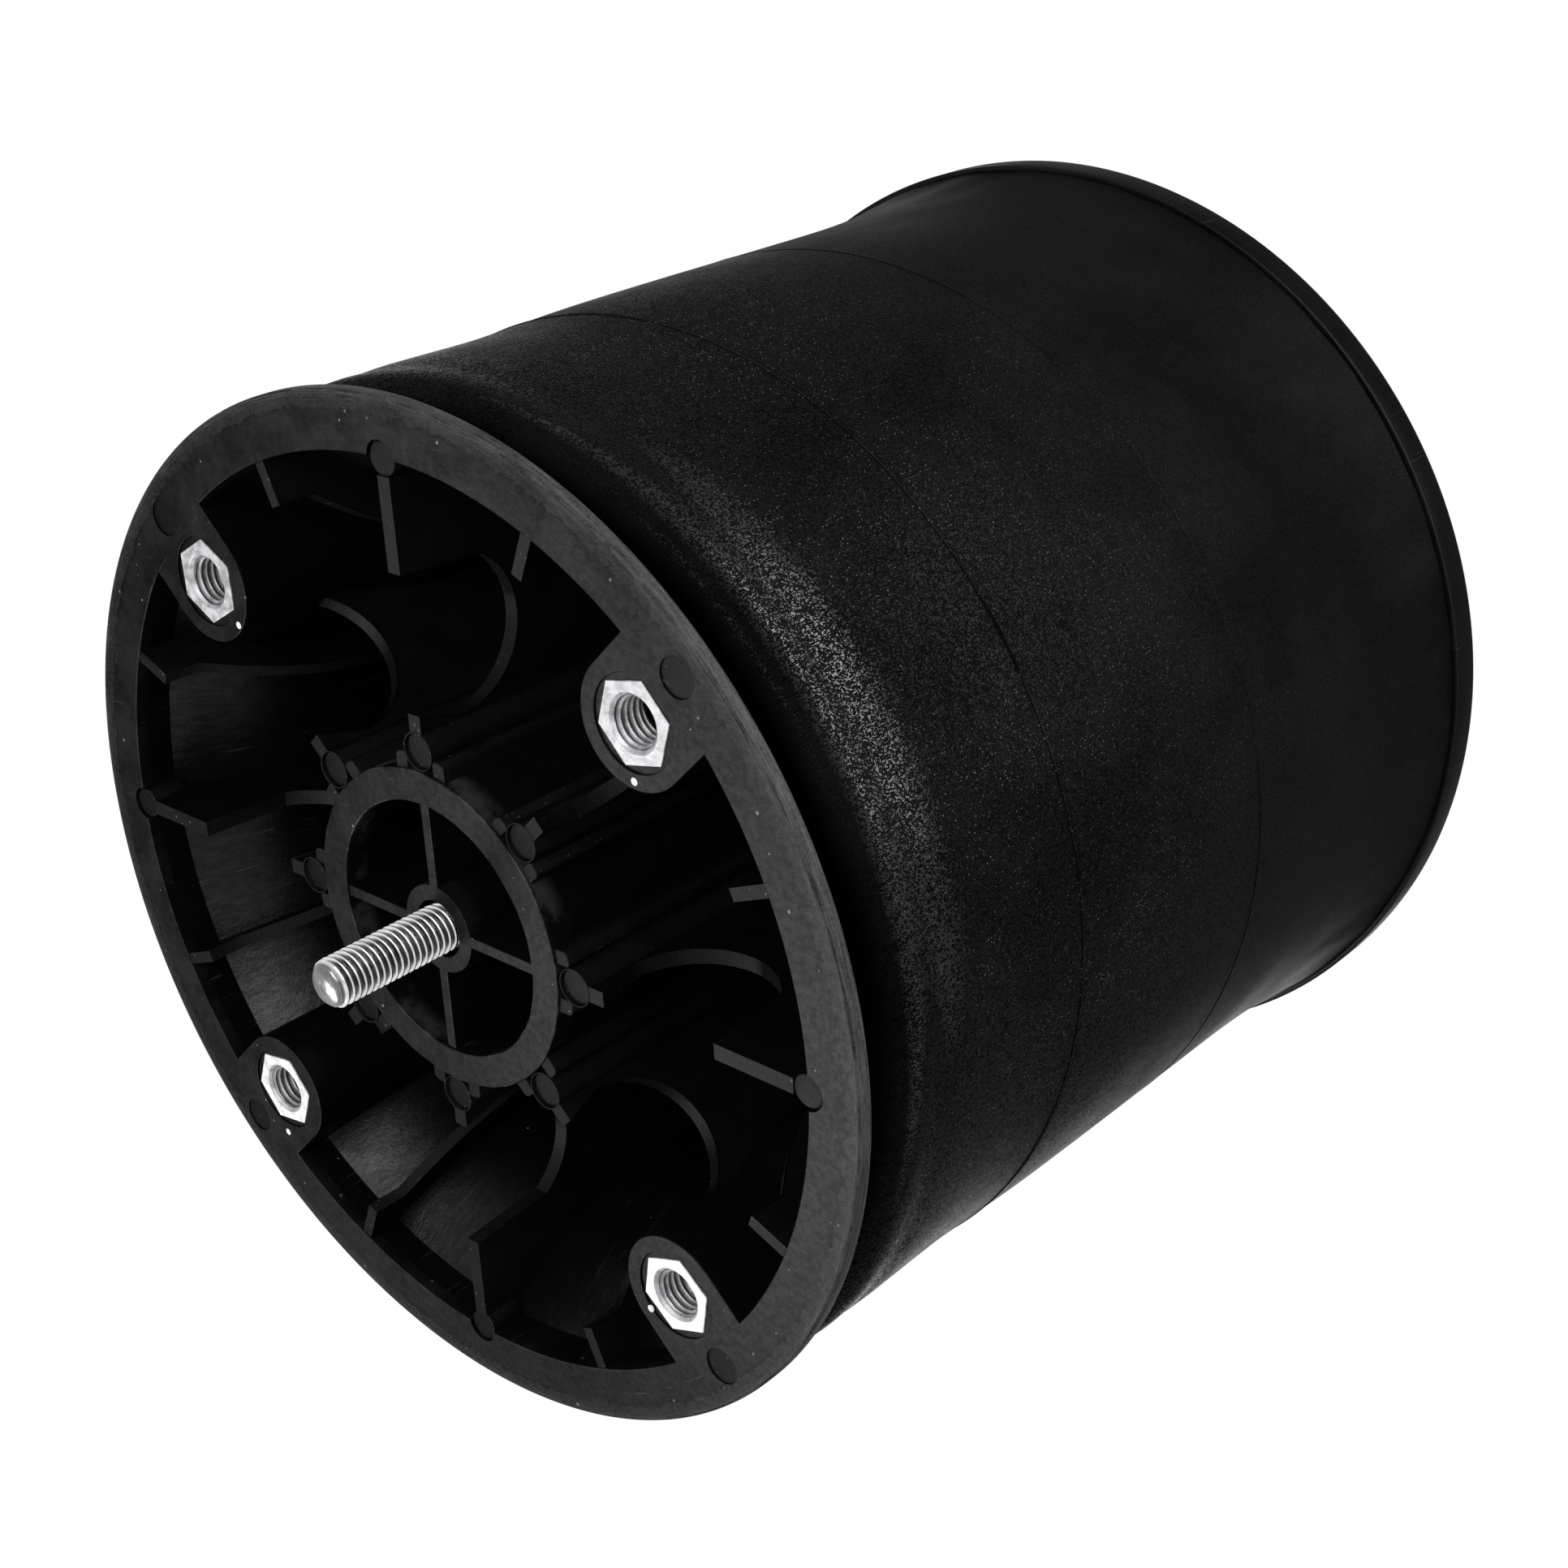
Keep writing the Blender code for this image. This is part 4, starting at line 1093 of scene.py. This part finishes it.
def wallRadius(height):
    if height <= shell["skirtHeight"]:
        return shell["skirtRadius"]
    if height < shell["waistHeight"]:
        share = (height - shell["skirtHeight"]) / (shell["waistHeight"] - shell["skirtHeight"])
        spread = shell["skirtRadius"] - shell["waistRadius"]
        return shell["waistRadius"] + spread * (1 - share) ** shell["waistEase"]
    share = (height - shell["waistHeight"]) / (shoulderCentre[1] - shell["waistHeight"])
    return shell["waistRadius"] + (shell["topRadius"] - shell["waistRadius"]) * share


def wallMiddle(height):
    return wallRadius(height) - shell["wall"] / 2


def wallSteps(count):
    rise = shell["waistHeight"] - shell["skirtHeight"]
    return [shell["skirtHeight"] + rise * k / count for k in range(count + 1)]


def makeShell():
    inner = shell["shoulder"] - shell["wall"]
    innerFoot = ceiling - inner
    foot = flange["thickness"] - overlap
    outside = [(shell["skirtRadius"], foot)]
    outside += [(wallRadius(z), z) for z in wallSteps(14)]
    outside += arc(shoulderCentre, shell["shoulder"], 0, 90, 8)
    grooveOut = shell["beadCircle"] + shell["grooveHalf"]
    grooveIn = shell["beadCircle"] - shell["grooveHalf"]
    top = [
        (grooveOut, pistonTop),
        (grooveOut, shell["grooveFloor"]),
        (grooveIn, shell["grooveFloor"]),
        (grooveIn, pistonTop),
        (shell["boltRoom"], pistonTop),
        (shell["boltRoom"], ceiling),
    ]
    centre = (wallRadius(innerFoot) - shell["wall"] - inner, innerFoot)
    inside = arc(centre, inner, 90, 0, 8)
    inside += [(wallRadius(z) - shell["wall"], z) for z in reversed(wallSteps(14))]
    inside += [(shell["skirtRadius"] - shell["wall"] + shell["footSpread"], foot)]
    return fromForm("pistonShell", turnedForm(outside + top + inside, shell["segments"]), insidePlastic)


pistonPieces.append(makeShell())


def makeLugs():
    # each lug runs down to the piston's top; its outer side follows the wall at a step of heights
    form = bmesh.new()
    half = flange["lugRadius"] - flange["lugClearance"]
    heights = [flange["pocketDepth"], *wallSteps(12), ceiling + overlap]
    rings = []
    for z in heights:
        reach = math.sqrt(wallMiddle(z) ** 2 - half ** 2)
        shape = [(reach, -half)]
        shape += arc((min(nutCircle, reach - 0.001), 0), half, -90, -270, 36)
        shape += [(reach, half)]
        rings.append([form.verts.new((x, y, z)) for x, y in shape])
    bridge(form, rings)
    form.faces.new(rings[0])
    form.faces.new(rings[-1])
    bmesh.ops.recalc_face_normals(form, faces=form.faces)
    sharpen(form)
    return form


def pocketCutter():
    # a hexagon with its own turn for each nut
    form = bmesh.new()
    for angle, turn in zip(nutAngles, nuts["turns"]):
        x, y = atAngle(nutCircle, angle)
        outline = circle(nutCorner + nuts["pocketRoom"], 6, start=angle + math.radians(turn))
        pocket = plateForm(outline, [], -overlap, nuts["height"] + clearance, [0.0])
        form = joined(form, moved(pocket, x=x, y=y))
    return form


lugs = repeated("nutLugs", makeLugs(), 4, fullTurn / 8, facePlastic)
pistonPieces.append(cutFrom(lugs, pocketCutter()))
print("shell and lugs made")


# ribs between hub and wall

ribs = {
    "count": 8,
    "thickness": 0.0038,
    "front": 0.0003,
    "stubFront": 0.0010,
    "notchCentre": 0.0686,
    "notchRadius": 0.0188,
    "notchDepth": 0.0320,
    "cornerAngle": 33,
    "sideDraft": 0.0019,
    "nubTip": 0.0532,
    "stubStart": 0.0487,
    "postDrop": 0.0045,
    "hubSide": 0.0370,
    "wallRibThickness": 0.0030,
    "wallRibDepth": 0.0105,
    "wallRibSpread": 0.0040,
    "round": 0.00035,
}


def ribOutline():
    notchCentre = (ribs["notchCentre"], ribs["notchDepth"] - ribs["notchRadius"])
    notch = arc(notchCentre, ribs["notchRadius"], 180, ribs["cornerAngle"], 28)
    tongueTip = notch[-1][0] + ribs["sideDraft"]
    postSide = flange["rimPostCircle"] - flange["rimPostRadius"] + 0.0001
    outline = [(ribs["nubTip"], ribs["stubFront"])] + notch
    outline += [(tongueTip, ribs["front"]), (postSide, ribs["front"]), (postSide, ribs["postDrop"])]
    outline += [(wallMiddle(0), ribs["postDrop"])]
    outline += [(wallMiddle(z), z) for z in wallSteps(10)]
    outline += [(shoulderCentre[0], ceiling + overlap), (ribs["hubSide"], ceiling + overlap)]
    outline += [(ribs["hubSide"], ribs["postDrop"]), (ribs["stubStart"], ribs["postDrop"])]
    return outline + [(ribs["stubStart"], ribs["stubFront"])]


def wallRibOutline():
    reach = shell["wall"] + ribs["wallRibDepth"]
    outline = [(wallMiddle(0), ribs["front"])]
    outline += [(wallMiddle(z), z) for z in wallSteps(10)]
    outline += [(shoulderCentre[0], ceiling + overlap)]
    outline += [(wallRadius(ceiling) - reach - ribs["wallRibSpread"], ceiling + overlap)]
    outline += [(wallRadius(z) - reach, z) for z in reversed(wallSteps(10))]
    return outline + [(shell["skirtRadius"] - reach, ribs["front"])]


longRib = webForm(ribOutline(), ribs["thickness"], ribs["round"])
longRibs = repeated("pistonRibs", longRib, ribs["count"], 0.0, ribPlastic)
nutRoom = bmesh.new()
besideNut, aboveNut = nuts["ribRoom"]
for angle in nutAngles:
    centre = atAngle(nutCircle, angle)
    addRound(nutRoom, flange["pocketRadius"] + besideNut, -overlap, nuts["height"] + aboveNut, centre)
pistonPieces.append(cutFrom(longRibs, nutRoom))
wallRib = webForm(wallRibOutline(), ribs["wallRibThickness"], ribs["round"])
pistonPieces.append(repeated("wallRibs", wallRib, ribs["count"], fullTurn / 16, ribPlastic))
print("ribs made")


# hub: ring, cross ribs and boss in one plate, with the clusters round it

hub = {
    "outer": 0.0396,
    "inner": 0.0316,
    "front": 0.0004,
    "boss": 0.0110,
    "bore": 0.0070,
    "crossRib": 0.0028,
    "crossDrop": 0.0005,
    "clusterFront": 0.0010,
    "discCircle": 0.0444,
    "discRadius": 0.0043,
    "sideNub": (0.0042, 0.0080),
    "nubStart": 0.0375,
    "nubReach": 0.0434,
    "postWall": 0.00035,
    "postRise": 0.00015,
    "postRound": 0.00012,
    "discLap": 0.0001,
    "discRound": 0.0004,
    "round": 0.0003,
    "crossRound": 0.00025,
    "discDrop": 0.0007,
}


def quadrantHole():
    # the open quarter between two cross ribs, the boss and the ring
    half = hub["crossRib"] / 2
    outerHalf = math.degrees(math.asin(half / hub["inner"]))
    innerHalf = math.degrees(math.asin(half / hub["boss"]))
    outline = arc((0, 0), hub["inner"], outerHalf, 90 - outerHalf, 24)
    outline += arc((0, 0), hub["boss"], 90 - innerHalf, innerHalf, 10)
    return outline


def makeHub():
    outside, inside = circle(hub["outer"], 128), circle(hub["inner"], 128)
    ring = plateForm(outside, [inside], hub["front"], ceiling + overlap, [hub["round"]] * 2)
    disc = circle(hub["inner"] + overlap, 96)
    holes = [turnedBy(fullTurn / 4 * k, quadrantHole()) for k in range(4)] + [circle(hub["bore"], 48)]
    crossFront = hub["front"] + hub["crossDrop"]
    cross = plateForm(disc, holes, crossFront, ceiling + overlap, [0.0] + [hub["crossRound"]] * 5)
    return fromForm("hubTube", joined(ring, cross), facePlastic)


def makeCluster():
    # two side nubs against the ring, and the rim of a round post between them
    low, high = hub["sideNub"]
    start, reach = hub["nubStart"], hub["nubReach"]
    tip = reach - 0.0006
    nub = roundedCorners([(start, low, 0), (reach, low, 0.0010), (tip, high, 0.0014), (start, high, 0)])
    mirrored = [(x, -y) for x, y in nub][::-1]
    post = circle(hub["discRadius"] + hub["postWall"], 48, (hub["discCircle"], 0))
    well = circle(hub["discRadius"], 48, (hub["discCircle"], 0))
    return joined(
        plateForm(nub, [], hub["clusterFront"], ceiling, [hub["round"]]),
        plateForm(mirrored, [], hub["clusterFront"], ceiling, [hub["round"]]),
        plateForm(post, [well], hub["clusterFront"] - hub["postRise"], ceiling, [hub["postRound"]] * 2),
    )


pistonPieces.append(makeHub())
pistonPieces.append(repeated("hubClusters", makeCluster(), ribs["count"], 0.0, ribPlastic))
discFront = hub["clusterFront"] + hub["discDrop"]
discOutline = circle(hub["discRadius"] + hub["discLap"], 48)
hubDisc = plateForm(discOutline, [], discFront, ceiling, [hub["discRound"]])
hubDiscs = repeated("hubDiscs", moved(hubDisc, x=hub["discCircle"]), ribs["count"], 0.0, discPlastic)
pistonPieces.append(hubDiscs)
for piece in pistonPieces:
    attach(piece, "piston")
print("hub made")


# moulded-in nuts

def makeNut():
    hole = circle(nuts["countersink"], 64)
    outline = hexagon(nutCorner, nuts["cornerRound"])
    body = plateForm(outline, [hole], nuts["face"], nuts["height"], [nuts["faceRound"]] * 2)
    bore = threadForm(baseNutZinc, around=64, rows=90, length=nuts["height"] - 0.0006, pitch=nuts["pitch"],
                      valley=nuts["major"], crest=nuts["minor"], wall=nuts["countersink"] + nuts["threadWall"],
                      chamfer=nuts["countersink"] - nuts["minor"])
    return joined(body, moved(bore, z=nuts["face"] + nuts["threadEnd"]))


for number, (angle, turn) in enumerate(zip(nutAngles, nuts["turns"]), 1):
    x, y = atAngle(nutCircle, angle)
    form = moved(makeNut(), x=x, y=y, turn=angle + math.radians(turn))
    nut = fromForm(f"baseNut{number}", form, baseNutZinc)
    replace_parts(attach(nut, "piston"), f"base_nut_{number}")


# small pale paint dots beside the nuts: distance from the axis, distance to the side

paintDots = {
    "radius": 0.0009,
    "height": 0.0002,
    "foot": 0.0003,
    "places": ((0.0851, 0.0013), (0.0889, 0.0086), (0.0980, 0.0112), (0.1089, -0.0089)),
}


def makeDots():
    form = bmesh.new()
    radius, height, foot = paintDots["radius"], paintDots["height"], paintDots["foot"]
    for angle, place in zip(nutAngles, paintDots["places"]):
        x, y = turnedBy(angle, [place])[0]
        outline = [(0, -height), (radius * 0.6, -height * 0.8), (radius, 0), (radius, foot), (0, foot)]
        form = joined(form, moved(turnedForm(outline, 20), x=x, y=y))
    return fromForm("paintDots", form, dotPaint)


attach(makeDots(), "piston")
print("nuts made")


# central bolt: the threaded end that stands out of the boss, and its plain shank and head

bolt = {
    "crest": 0.0059,
    "valley": 0.00495,
    "threadLength": 0.060,
    "chamfer": 0.0015,
    "dimple": 0.0022,
    "dimpleDepth": 0.0003,
    "dimpleSlope": 0.0004,
    "dimpleRim": 0.0005,
    "rimDrop": 0.00012,
    "lap": 0.002,
    "headHeight": 0.0075,
    "headRound": (0.0003, 0.0006),
}


def makeBolt():
    foot, dimple, lap = boltLow.z, bolt["dimple"], bolt["lap"]
    thread = threadForm(boltZinc, around=72, rows=420, length=bolt["threadLength"], pitch=nuts["pitch"],
                        valley=bolt["valley"], crest=bolt["crest"], wall=0.0, chamfer=bolt["chamfer"])
    moved(thread, z=foot + 0.0001)
    tip = turnedForm([
        (0, foot + bolt["dimpleDepth"]),
        (dimple - bolt["dimpleSlope"], foot + bolt["dimpleDepth"]),
        (dimple, foot),
        (dimple + bolt["dimpleRim"], foot + bolt["rimDrop"]),
        (dimple + bolt["dimpleRim"], foot + lap),
        (0, foot + lap),
    ], 40)
    start = foot + bolt["threadLength"] - lap
    end = boltHigh.z - bolt["headHeight"] / 2
    radius = bolt["crest"] - clearance
    shank = turnedForm([(0, start), (radius, start), (radius, end), (0, end)], 48)
    cornerRound, faceRound = bolt["headRound"]
    outline = hexagon(boltHigh.x, cornerRound)
    head = plateForm(outline, [], boltHigh.z, boltHigh.z - bolt["headHeight"], [faceRound])
    return fromForm("centralBolt", joined(thread, tip, shank, head), boltZinc)


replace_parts(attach(makeBolt(), "piston"), "central_bolt")
print("central bolt made")


# the top, whose crimped rim holds the sleeve's outer bead

top = {
    "thickness": 0.003,
    "rimWall": 0.0025,
    "rimRound": 0.0030,
    "lipRound": (0.0004, 0.0002),
    "cornerRound": 0.0005,
    "studLap": 0.002,
    "washer": (0.0012, 0.0028, 0.0100),
    "studSpots": ((studReach, 0.0), (-studReach, 0.0)),
    "nutBore": 0.0064,
    "pinSpot": (0.0, -0.080),
    "pinRadii": (0.0070, 0.0040),
    "inletSpot": (0.0, 0.060),
}
topUnder = topHeight - top["thickness"]


# rubber sleeve: outer leg with the rolling lobe, and the leg folded inside it on the piston

sleeve = {
    "thickness": 0.004,
    "bead": 0.0047,
    "foldRadius": 0.0051,
    "foldCentre": (0.11665, 0.0222),
    "outerShape": (
        (0.12379, 0.0236), (0.12370, 0.0257), (0.12358, 0.0280), (0.12358, 0.0300), (0.12372, 0.0326),
        (0.12384, 0.0352), (0.12386, 0.0385), (0.12378, 0.0450), (0.1236, 0.0560), (0.1236, 0.0660),
        (0.1241, 0.0800), (0.1247, 0.1000), (0.1249, 0.1300),
    ),
    "straightRadius": 0.1249,
    "flareFoot": 0.1700,
    "flareRise": 0.0051,
    "end": 0.24325,
    "endRound": 0.0003,
    "lines": ((0.0785, 0.00022), (0.1500, -0.00014)),
    "lineWidth": 0.0004,
    "lineReach": 0.006,
    "steps": (0.0003, 0.0025),
    "beadLap": 0.003,
    "outside": 0.1215,
    "wrinkle": 0.0003,
    "wrinkleHeight": 0.226,
    "wrinkleSpread": 0.020,
    "segments": 288,
}
halfSleeve = sleeve["thickness"] / 2


def smoothThrough(points, steps):
    # a Catmull-Rom curve through the points
    ends = [points[0]] + list(points) + [points[-1]]
    curve = []
    for corners in zip(ends, ends[1:], ends[2:], ends[3:]):
        for k in range(steps):
            t = k / steps
            spot = []
            for a, b, c, d in zip(*corners):
                bend = 2 * a - 5 * b + 4 * c - d + t * (3 * (b - c) + d - a)
                spot.append(b + t / 2 * (c - a + t * bend))
            curve.append(tuple(spot))
    return curve + [points[-1]]


def thickened(path, half, rounding=0.0):
    # closed outline of a wall along a path; the last end can have rounded corners
    points = [Vector(p) for p in path]
    left, right = [], []
    for k, here in enumerate(points):
        along = (points[min(k + 1, len(points) - 1)] - points[max(k - 1, 0)]).normalized()
        side = Vector((-along.y, along.x)) * half
        left.append(tuple(here + side))
        right.append(tuple(here - side))
    if rounding:
        along = (points[-1] - points[-2]).normalized()
        for edge, sign in ((left, 1), (right, -1)):
            side = Vector((-along.y, along.x)) * sign
            centre = points[-1] + side * (half - rounding) - along * rounding
            turns = [math.pi / 2 * k / 4 for k in range(5)]
            edge[-1:] = [tuple(centre + (side * math.cos(t) + along * math.sin(t)) * rounding) for t in turns]
    return left + right[::-1]


def outerPath():
    # centre line from the fold's lowest point up the outer leg
    turn = arc(sleeve["foldCentre"], sleeve["foldRadius"], -90, 0, 8)
    shape = [(r - halfSleeve, z) for r, z in sleeve["outerShape"]]
    leg = smoothThrough([turn[-1]] + shape, 6)
    rise = sleeve["end"] - sleeve["flareFoot"]
    flare = [(sleeve["flareFoot"] + rise * k / 30, (k / 30) ** 3) for k in range(31)]
    straight = sleeve["straightRadius"] - halfSleeve
    return turn[:-1] + leg + [(straight + sleeve["flareRise"] * share, z) for z, share in flare]


def sleeveShape(turn, r, z):
    # fine raised lines round the sleeve, and soft wrinkles below the crimp
    for line, rise in sleeve["lines"]:
        if r > sleeve["outside"]:
            away = (z - line) / sleeve["lineWidth"]
            r += rise * (math.exp(-away * away) - 0.6 * math.exp(-((away - 1.8) ** 2)))
    fade = max(0.0, 1 - abs(z - sleeve["wrinkleHeight"]) / sleeve["wrinkleSpread"])
    if r > sleeve["outside"] and fade > 0:
        waves = math.sin(31 * turn) * math.sin(7 * turn + 1.3)
        waves += 0.6 * math.sin(47 * turn + 0.5) * math.sin(5 * turn)
        r += sleeve["wrinkle"] * fade * fade * (3 - 2 * fade) * waves
    return r, z


def makeOuterSleeve():
    path = outerPath()
    fineStep, plainStep = sleeve["steps"]
    fine = []
    for a, b in zip(path, path[1:]):
        gap = math.dist(a, b)
        nearLine = any(abs((a[1] + b[1]) / 2 - line) < sleeve["lineReach"] for line, rise in sleeve["lines"])
        parts = max(1, round(gap / (fineStep if nearLine else plainStep)))
        fine += [(a[0] + (b[0] - a[0]) * k / parts, a[1] + (b[1] - a[1]) * k / parts) for k in range(parts)]
    fine.append(path[-1])
    wall = turnedForm(thickened(fine, halfSleeve, sleeve["endRound"]), sleeve["segments"], sleeveShape)
    beadRadius = rimRadius - top["rimWall"] - clearance - sleeve["bead"]
    beadHeight = topHeight - top["thickness"] - clearance - sleeve["bead"]
    bead = turnedForm(circle(sleeve["bead"], 24, (beadRadius, beadHeight)), 160)
    return fromForm("bellowsOuter", joined(wall, bead), bellowsRubber)


def makeInnerSleeve():
    lift = halfSleeve + clearance
    centre = Vector(sleeve["foldCentre"])
    path = []
    for z in [shell["skirtHeight"] + 0.0015 * k for k in range(60)] + [shoulderCentre[1]]:
        slope = (wallRadius(z + 0.0002) - wallRadius(z - 0.0002)) / 0.0004
        normal = Vector((1, -slope)).normalized()
        spot = Vector((wallRadius(z) + lift * normal.x, z + lift * normal.y))
        if (spot - centre).length > sleeve["foldRadius"] + 0.0004 and spot.y > centre.y + 0.004:
            path.append(tuple(spot))
    first = Vector(path[0]) - centre
    startAngle = math.degrees(math.atan2(first.y, first.x)) + 12
    turn = arc(sleeve["foldCentre"], sleeve["foldRadius"], 270, startAngle, 8)
    shoulder = arc(shoulderCentre, shell["shoulder"] + lift, 8, 90, 8)
    beadCentre = (shell["beadCircle"], pistonTop + lift)
    path = turn + path + shoulder + [(beadCentre[0] + sleeve["beadLap"], beadCentre[1])]
    wall = turnedForm(thickened(path, halfSleeve), 160)
    bead = turnedForm(circle(sleeve["bead"], 20, beadCentre), 120)
    return fromForm("bellowsInner", joined(wall, bead), bellowsRubber)


outerSleeve = makeOuterSleeve()
innerSleeve = makeInnerSleeve()
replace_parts(outerSleeve, "bellows_sleeve")
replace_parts(innerSleeve, "bellows_sleeve")
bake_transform(outerSleeve)
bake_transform(innerSleeve)
print("sleeve made")


# top plate with its crimped rim, studs, nuts, pin and air inlet

def makePlate():
    inner = rimRadius - top["rimWall"]
    foot = plateLow.z
    outline = roundedCorners([
        (0, topHeight, 0),
        (rimRadius, topHeight, top["rimRound"]),
        (rimRadius, foot, top["lipRound"][0]),
        (inner, foot, top["lipRound"][1]),
        (inner, topUnder, top["cornerRound"]),
        (0, topUnder, 0),
    ], 6)
    return fromForm("topPlate", turnedForm(outline, 256), plateCoat)


def makeTopStud(spot, number):
    x, y = spot
    low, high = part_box(f"top_stud_{number}")
    thread = threadForm(studZinc, around=48, rows=260, length=high.z - topHeight, pitch=nuts["pitch"],
                        valley=bolt["valley"], crest=bolt["crest"], wall=0.0, chamfer=bolt["chamfer"])
    headRadius = (high.x - low.x) / 2
    under = topUnder - clearance
    neck = turnedForm(roundedCorners([
        (0, low.z, 0),
        (headRadius, low.z, 0.0006),
        (headRadius, under, 0.0002),
        (bolt["valley"], under, 0),
        (bolt["valley"], topHeight + top["studLap"], 0),
        (0, topHeight + top["studLap"], 0),
    ]), 40)
    stud = joined(moved(thread, x=x, y=y, z=topHeight), moved(neck, x=x, y=y))
    return fromForm(f"topStud{number}", stud, studZinc)


def makeStudNut(spot, number):
    x, y = spot
    low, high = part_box(f"top_stud_nut_{number}")
    outer = (high.x - low.x) / 2
    bore = top["nutBore"]
    edge, rise, shoulder = top["washer"]
    washer = turnedForm(roundedCorners([
        (bore, low.z, 0),
        (outer, low.z, 0.0003),
        (outer, low.z + edge, 0.0006),
        (shoulder, low.z + rise, 0),
        (bore, low.z + rise, 0),
    ]), 64)
    outline = hexagon(nutCorner, nuts["cornerRound"])
    body = plateForm(outline, [circle(bore, 40)], high.z, low.z + overlap, [0.0008, 0.0004])
    return fromForm(f"topNut{number}", joined(moved(washer, x=x, y=y), moved(body, x=x, y=y)), nutZinc)


def makePin():
    x, y = top["pinSpot"]
    low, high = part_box("locating_pin")
    under = topUnder - clearance
    head, shaft = top["pinRadii"]
    outline = roundedCorners([
        (0, low.z, 0),
        (head, low.z, 0.0005),
        (head, under, 0.0002),
        (shaft, under, 0),
        (shaft, high.z, 0.0009),
        (0, high.z, 0),
    ])
    return fromForm("locatingPin", moved(turnedForm(outline, 48), x=x, y=y), nutZinc)


inlet = {
    "rise": 0.0026,
    "cornerRound": 0.0006,
    "faceRound": (0.0009, 0.0003),
    "hole": 0.0082,
    "pitch": 0.0015,
    "valley": 0.0080,
    "crest": 0.0071,
    "wall": 0.0086,
    "chamfer": 0.0007,
    "spigot": (0.0062, 0.0098),
}


def makeInlet():
    x, y = top["inletSpot"]
    low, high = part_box("air_inlet")
    corner = (high.x - low.x) / 2
    foot = topHeight + inlet["rise"]
    outline = hexagon(corner, inlet["cornerRound"])
    body = plateForm(outline, [circle(inlet["hole"], 64)], high.z, foot, inlet["faceRound"])
    bore = threadForm(inletBrass, around=56, rows=70, length=high.z - foot, pitch=inlet["pitch"],
                      valley=inlet["valley"], crest=inlet["crest"], wall=inlet["wall"],
                      chamfer=inlet["chamfer"])
    inner, outer = inlet["spigot"]
    spigot = turnedForm([(inner, low.z), (outer, low.z), (outer, foot + overlap), (inner, foot + overlap)], 56)
    return fromForm("airInlet", moved(joined(body, moved(bore, z=foot), spigot), x=x, y=y), inletBrass)


def topPiece(piece, node):
    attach(piece, "top")
    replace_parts(piece, node)


topPiece(makePlate(), "top_plate")
for number, spot in enumerate(top["studSpots"], 1):
    topPiece(makeTopStud(spot, number), f"top_stud_{number}")
    topPiece(makeStudNut(spot, number), f"top_stud_nut_{number}")
topPiece(makePin(), "locating_pin")
topPiece(makeInlet(), "air_inlet")
print("top made")


# CAD nodes that stay as they are get their finishes

kept = {
    "clamp_plate": plateCoat,
    "bump_stop_retainer": plateCoat,
    "bolt_washer": nutZinc,
    "bolt_seal_ring": bellowsRubber,
    "bump_stop": bellowsRubber,
    "inlet_seal_ring": bellowsRubber,
}
for node, material in kept.items():
    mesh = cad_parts[node].data
    mesh.materials.clear()
    mesh.materials.append(material)


# floor, seen only by the camera and only from above

def makeFloorFinish():
    material = bpy.data.materials.new("paleFloor")
    material.use_nodes = True
    tree = material.node_tree
    shader = tree.nodes["Principled BSDF"]
    feed(light["floorColour"], shader.inputs["Base Color"])
    feed(light["floorRoughness"], shader.inputs["Roughness"])
    behind = addNode(tree, "ShaderNodeNewGeometry").outputs["Backfacing"]
    clear = addNode(tree, "ShaderNodeBsdfTransparent").outputs[0]
    pick = addNode(tree, "ShaderNodeMixShader", {0: behind, 1: shader.outputs[0], 2: clear})
    feed(pick.outputs[0], tree.nodes["Material Output"].inputs["Surface"])
    return material


floorTop = cadBox[0].z - light["floorDrop"]
half = light["floorSize"] / 2
floorForm = bmesh.new()
spots = ((-half, -half), (half, -half), (half, half), (-half, half))
floorForm.faces.new([floorForm.verts.new((x, y, floorTop)) for x, y in spots])
floor = fromForm("floor", floorForm, makeFloorFinish())
for rays in ("diffuse", "glossy", "transmission", "shadow"):
    setattr(floor, "visible_" + rays, False)
print("floor made")
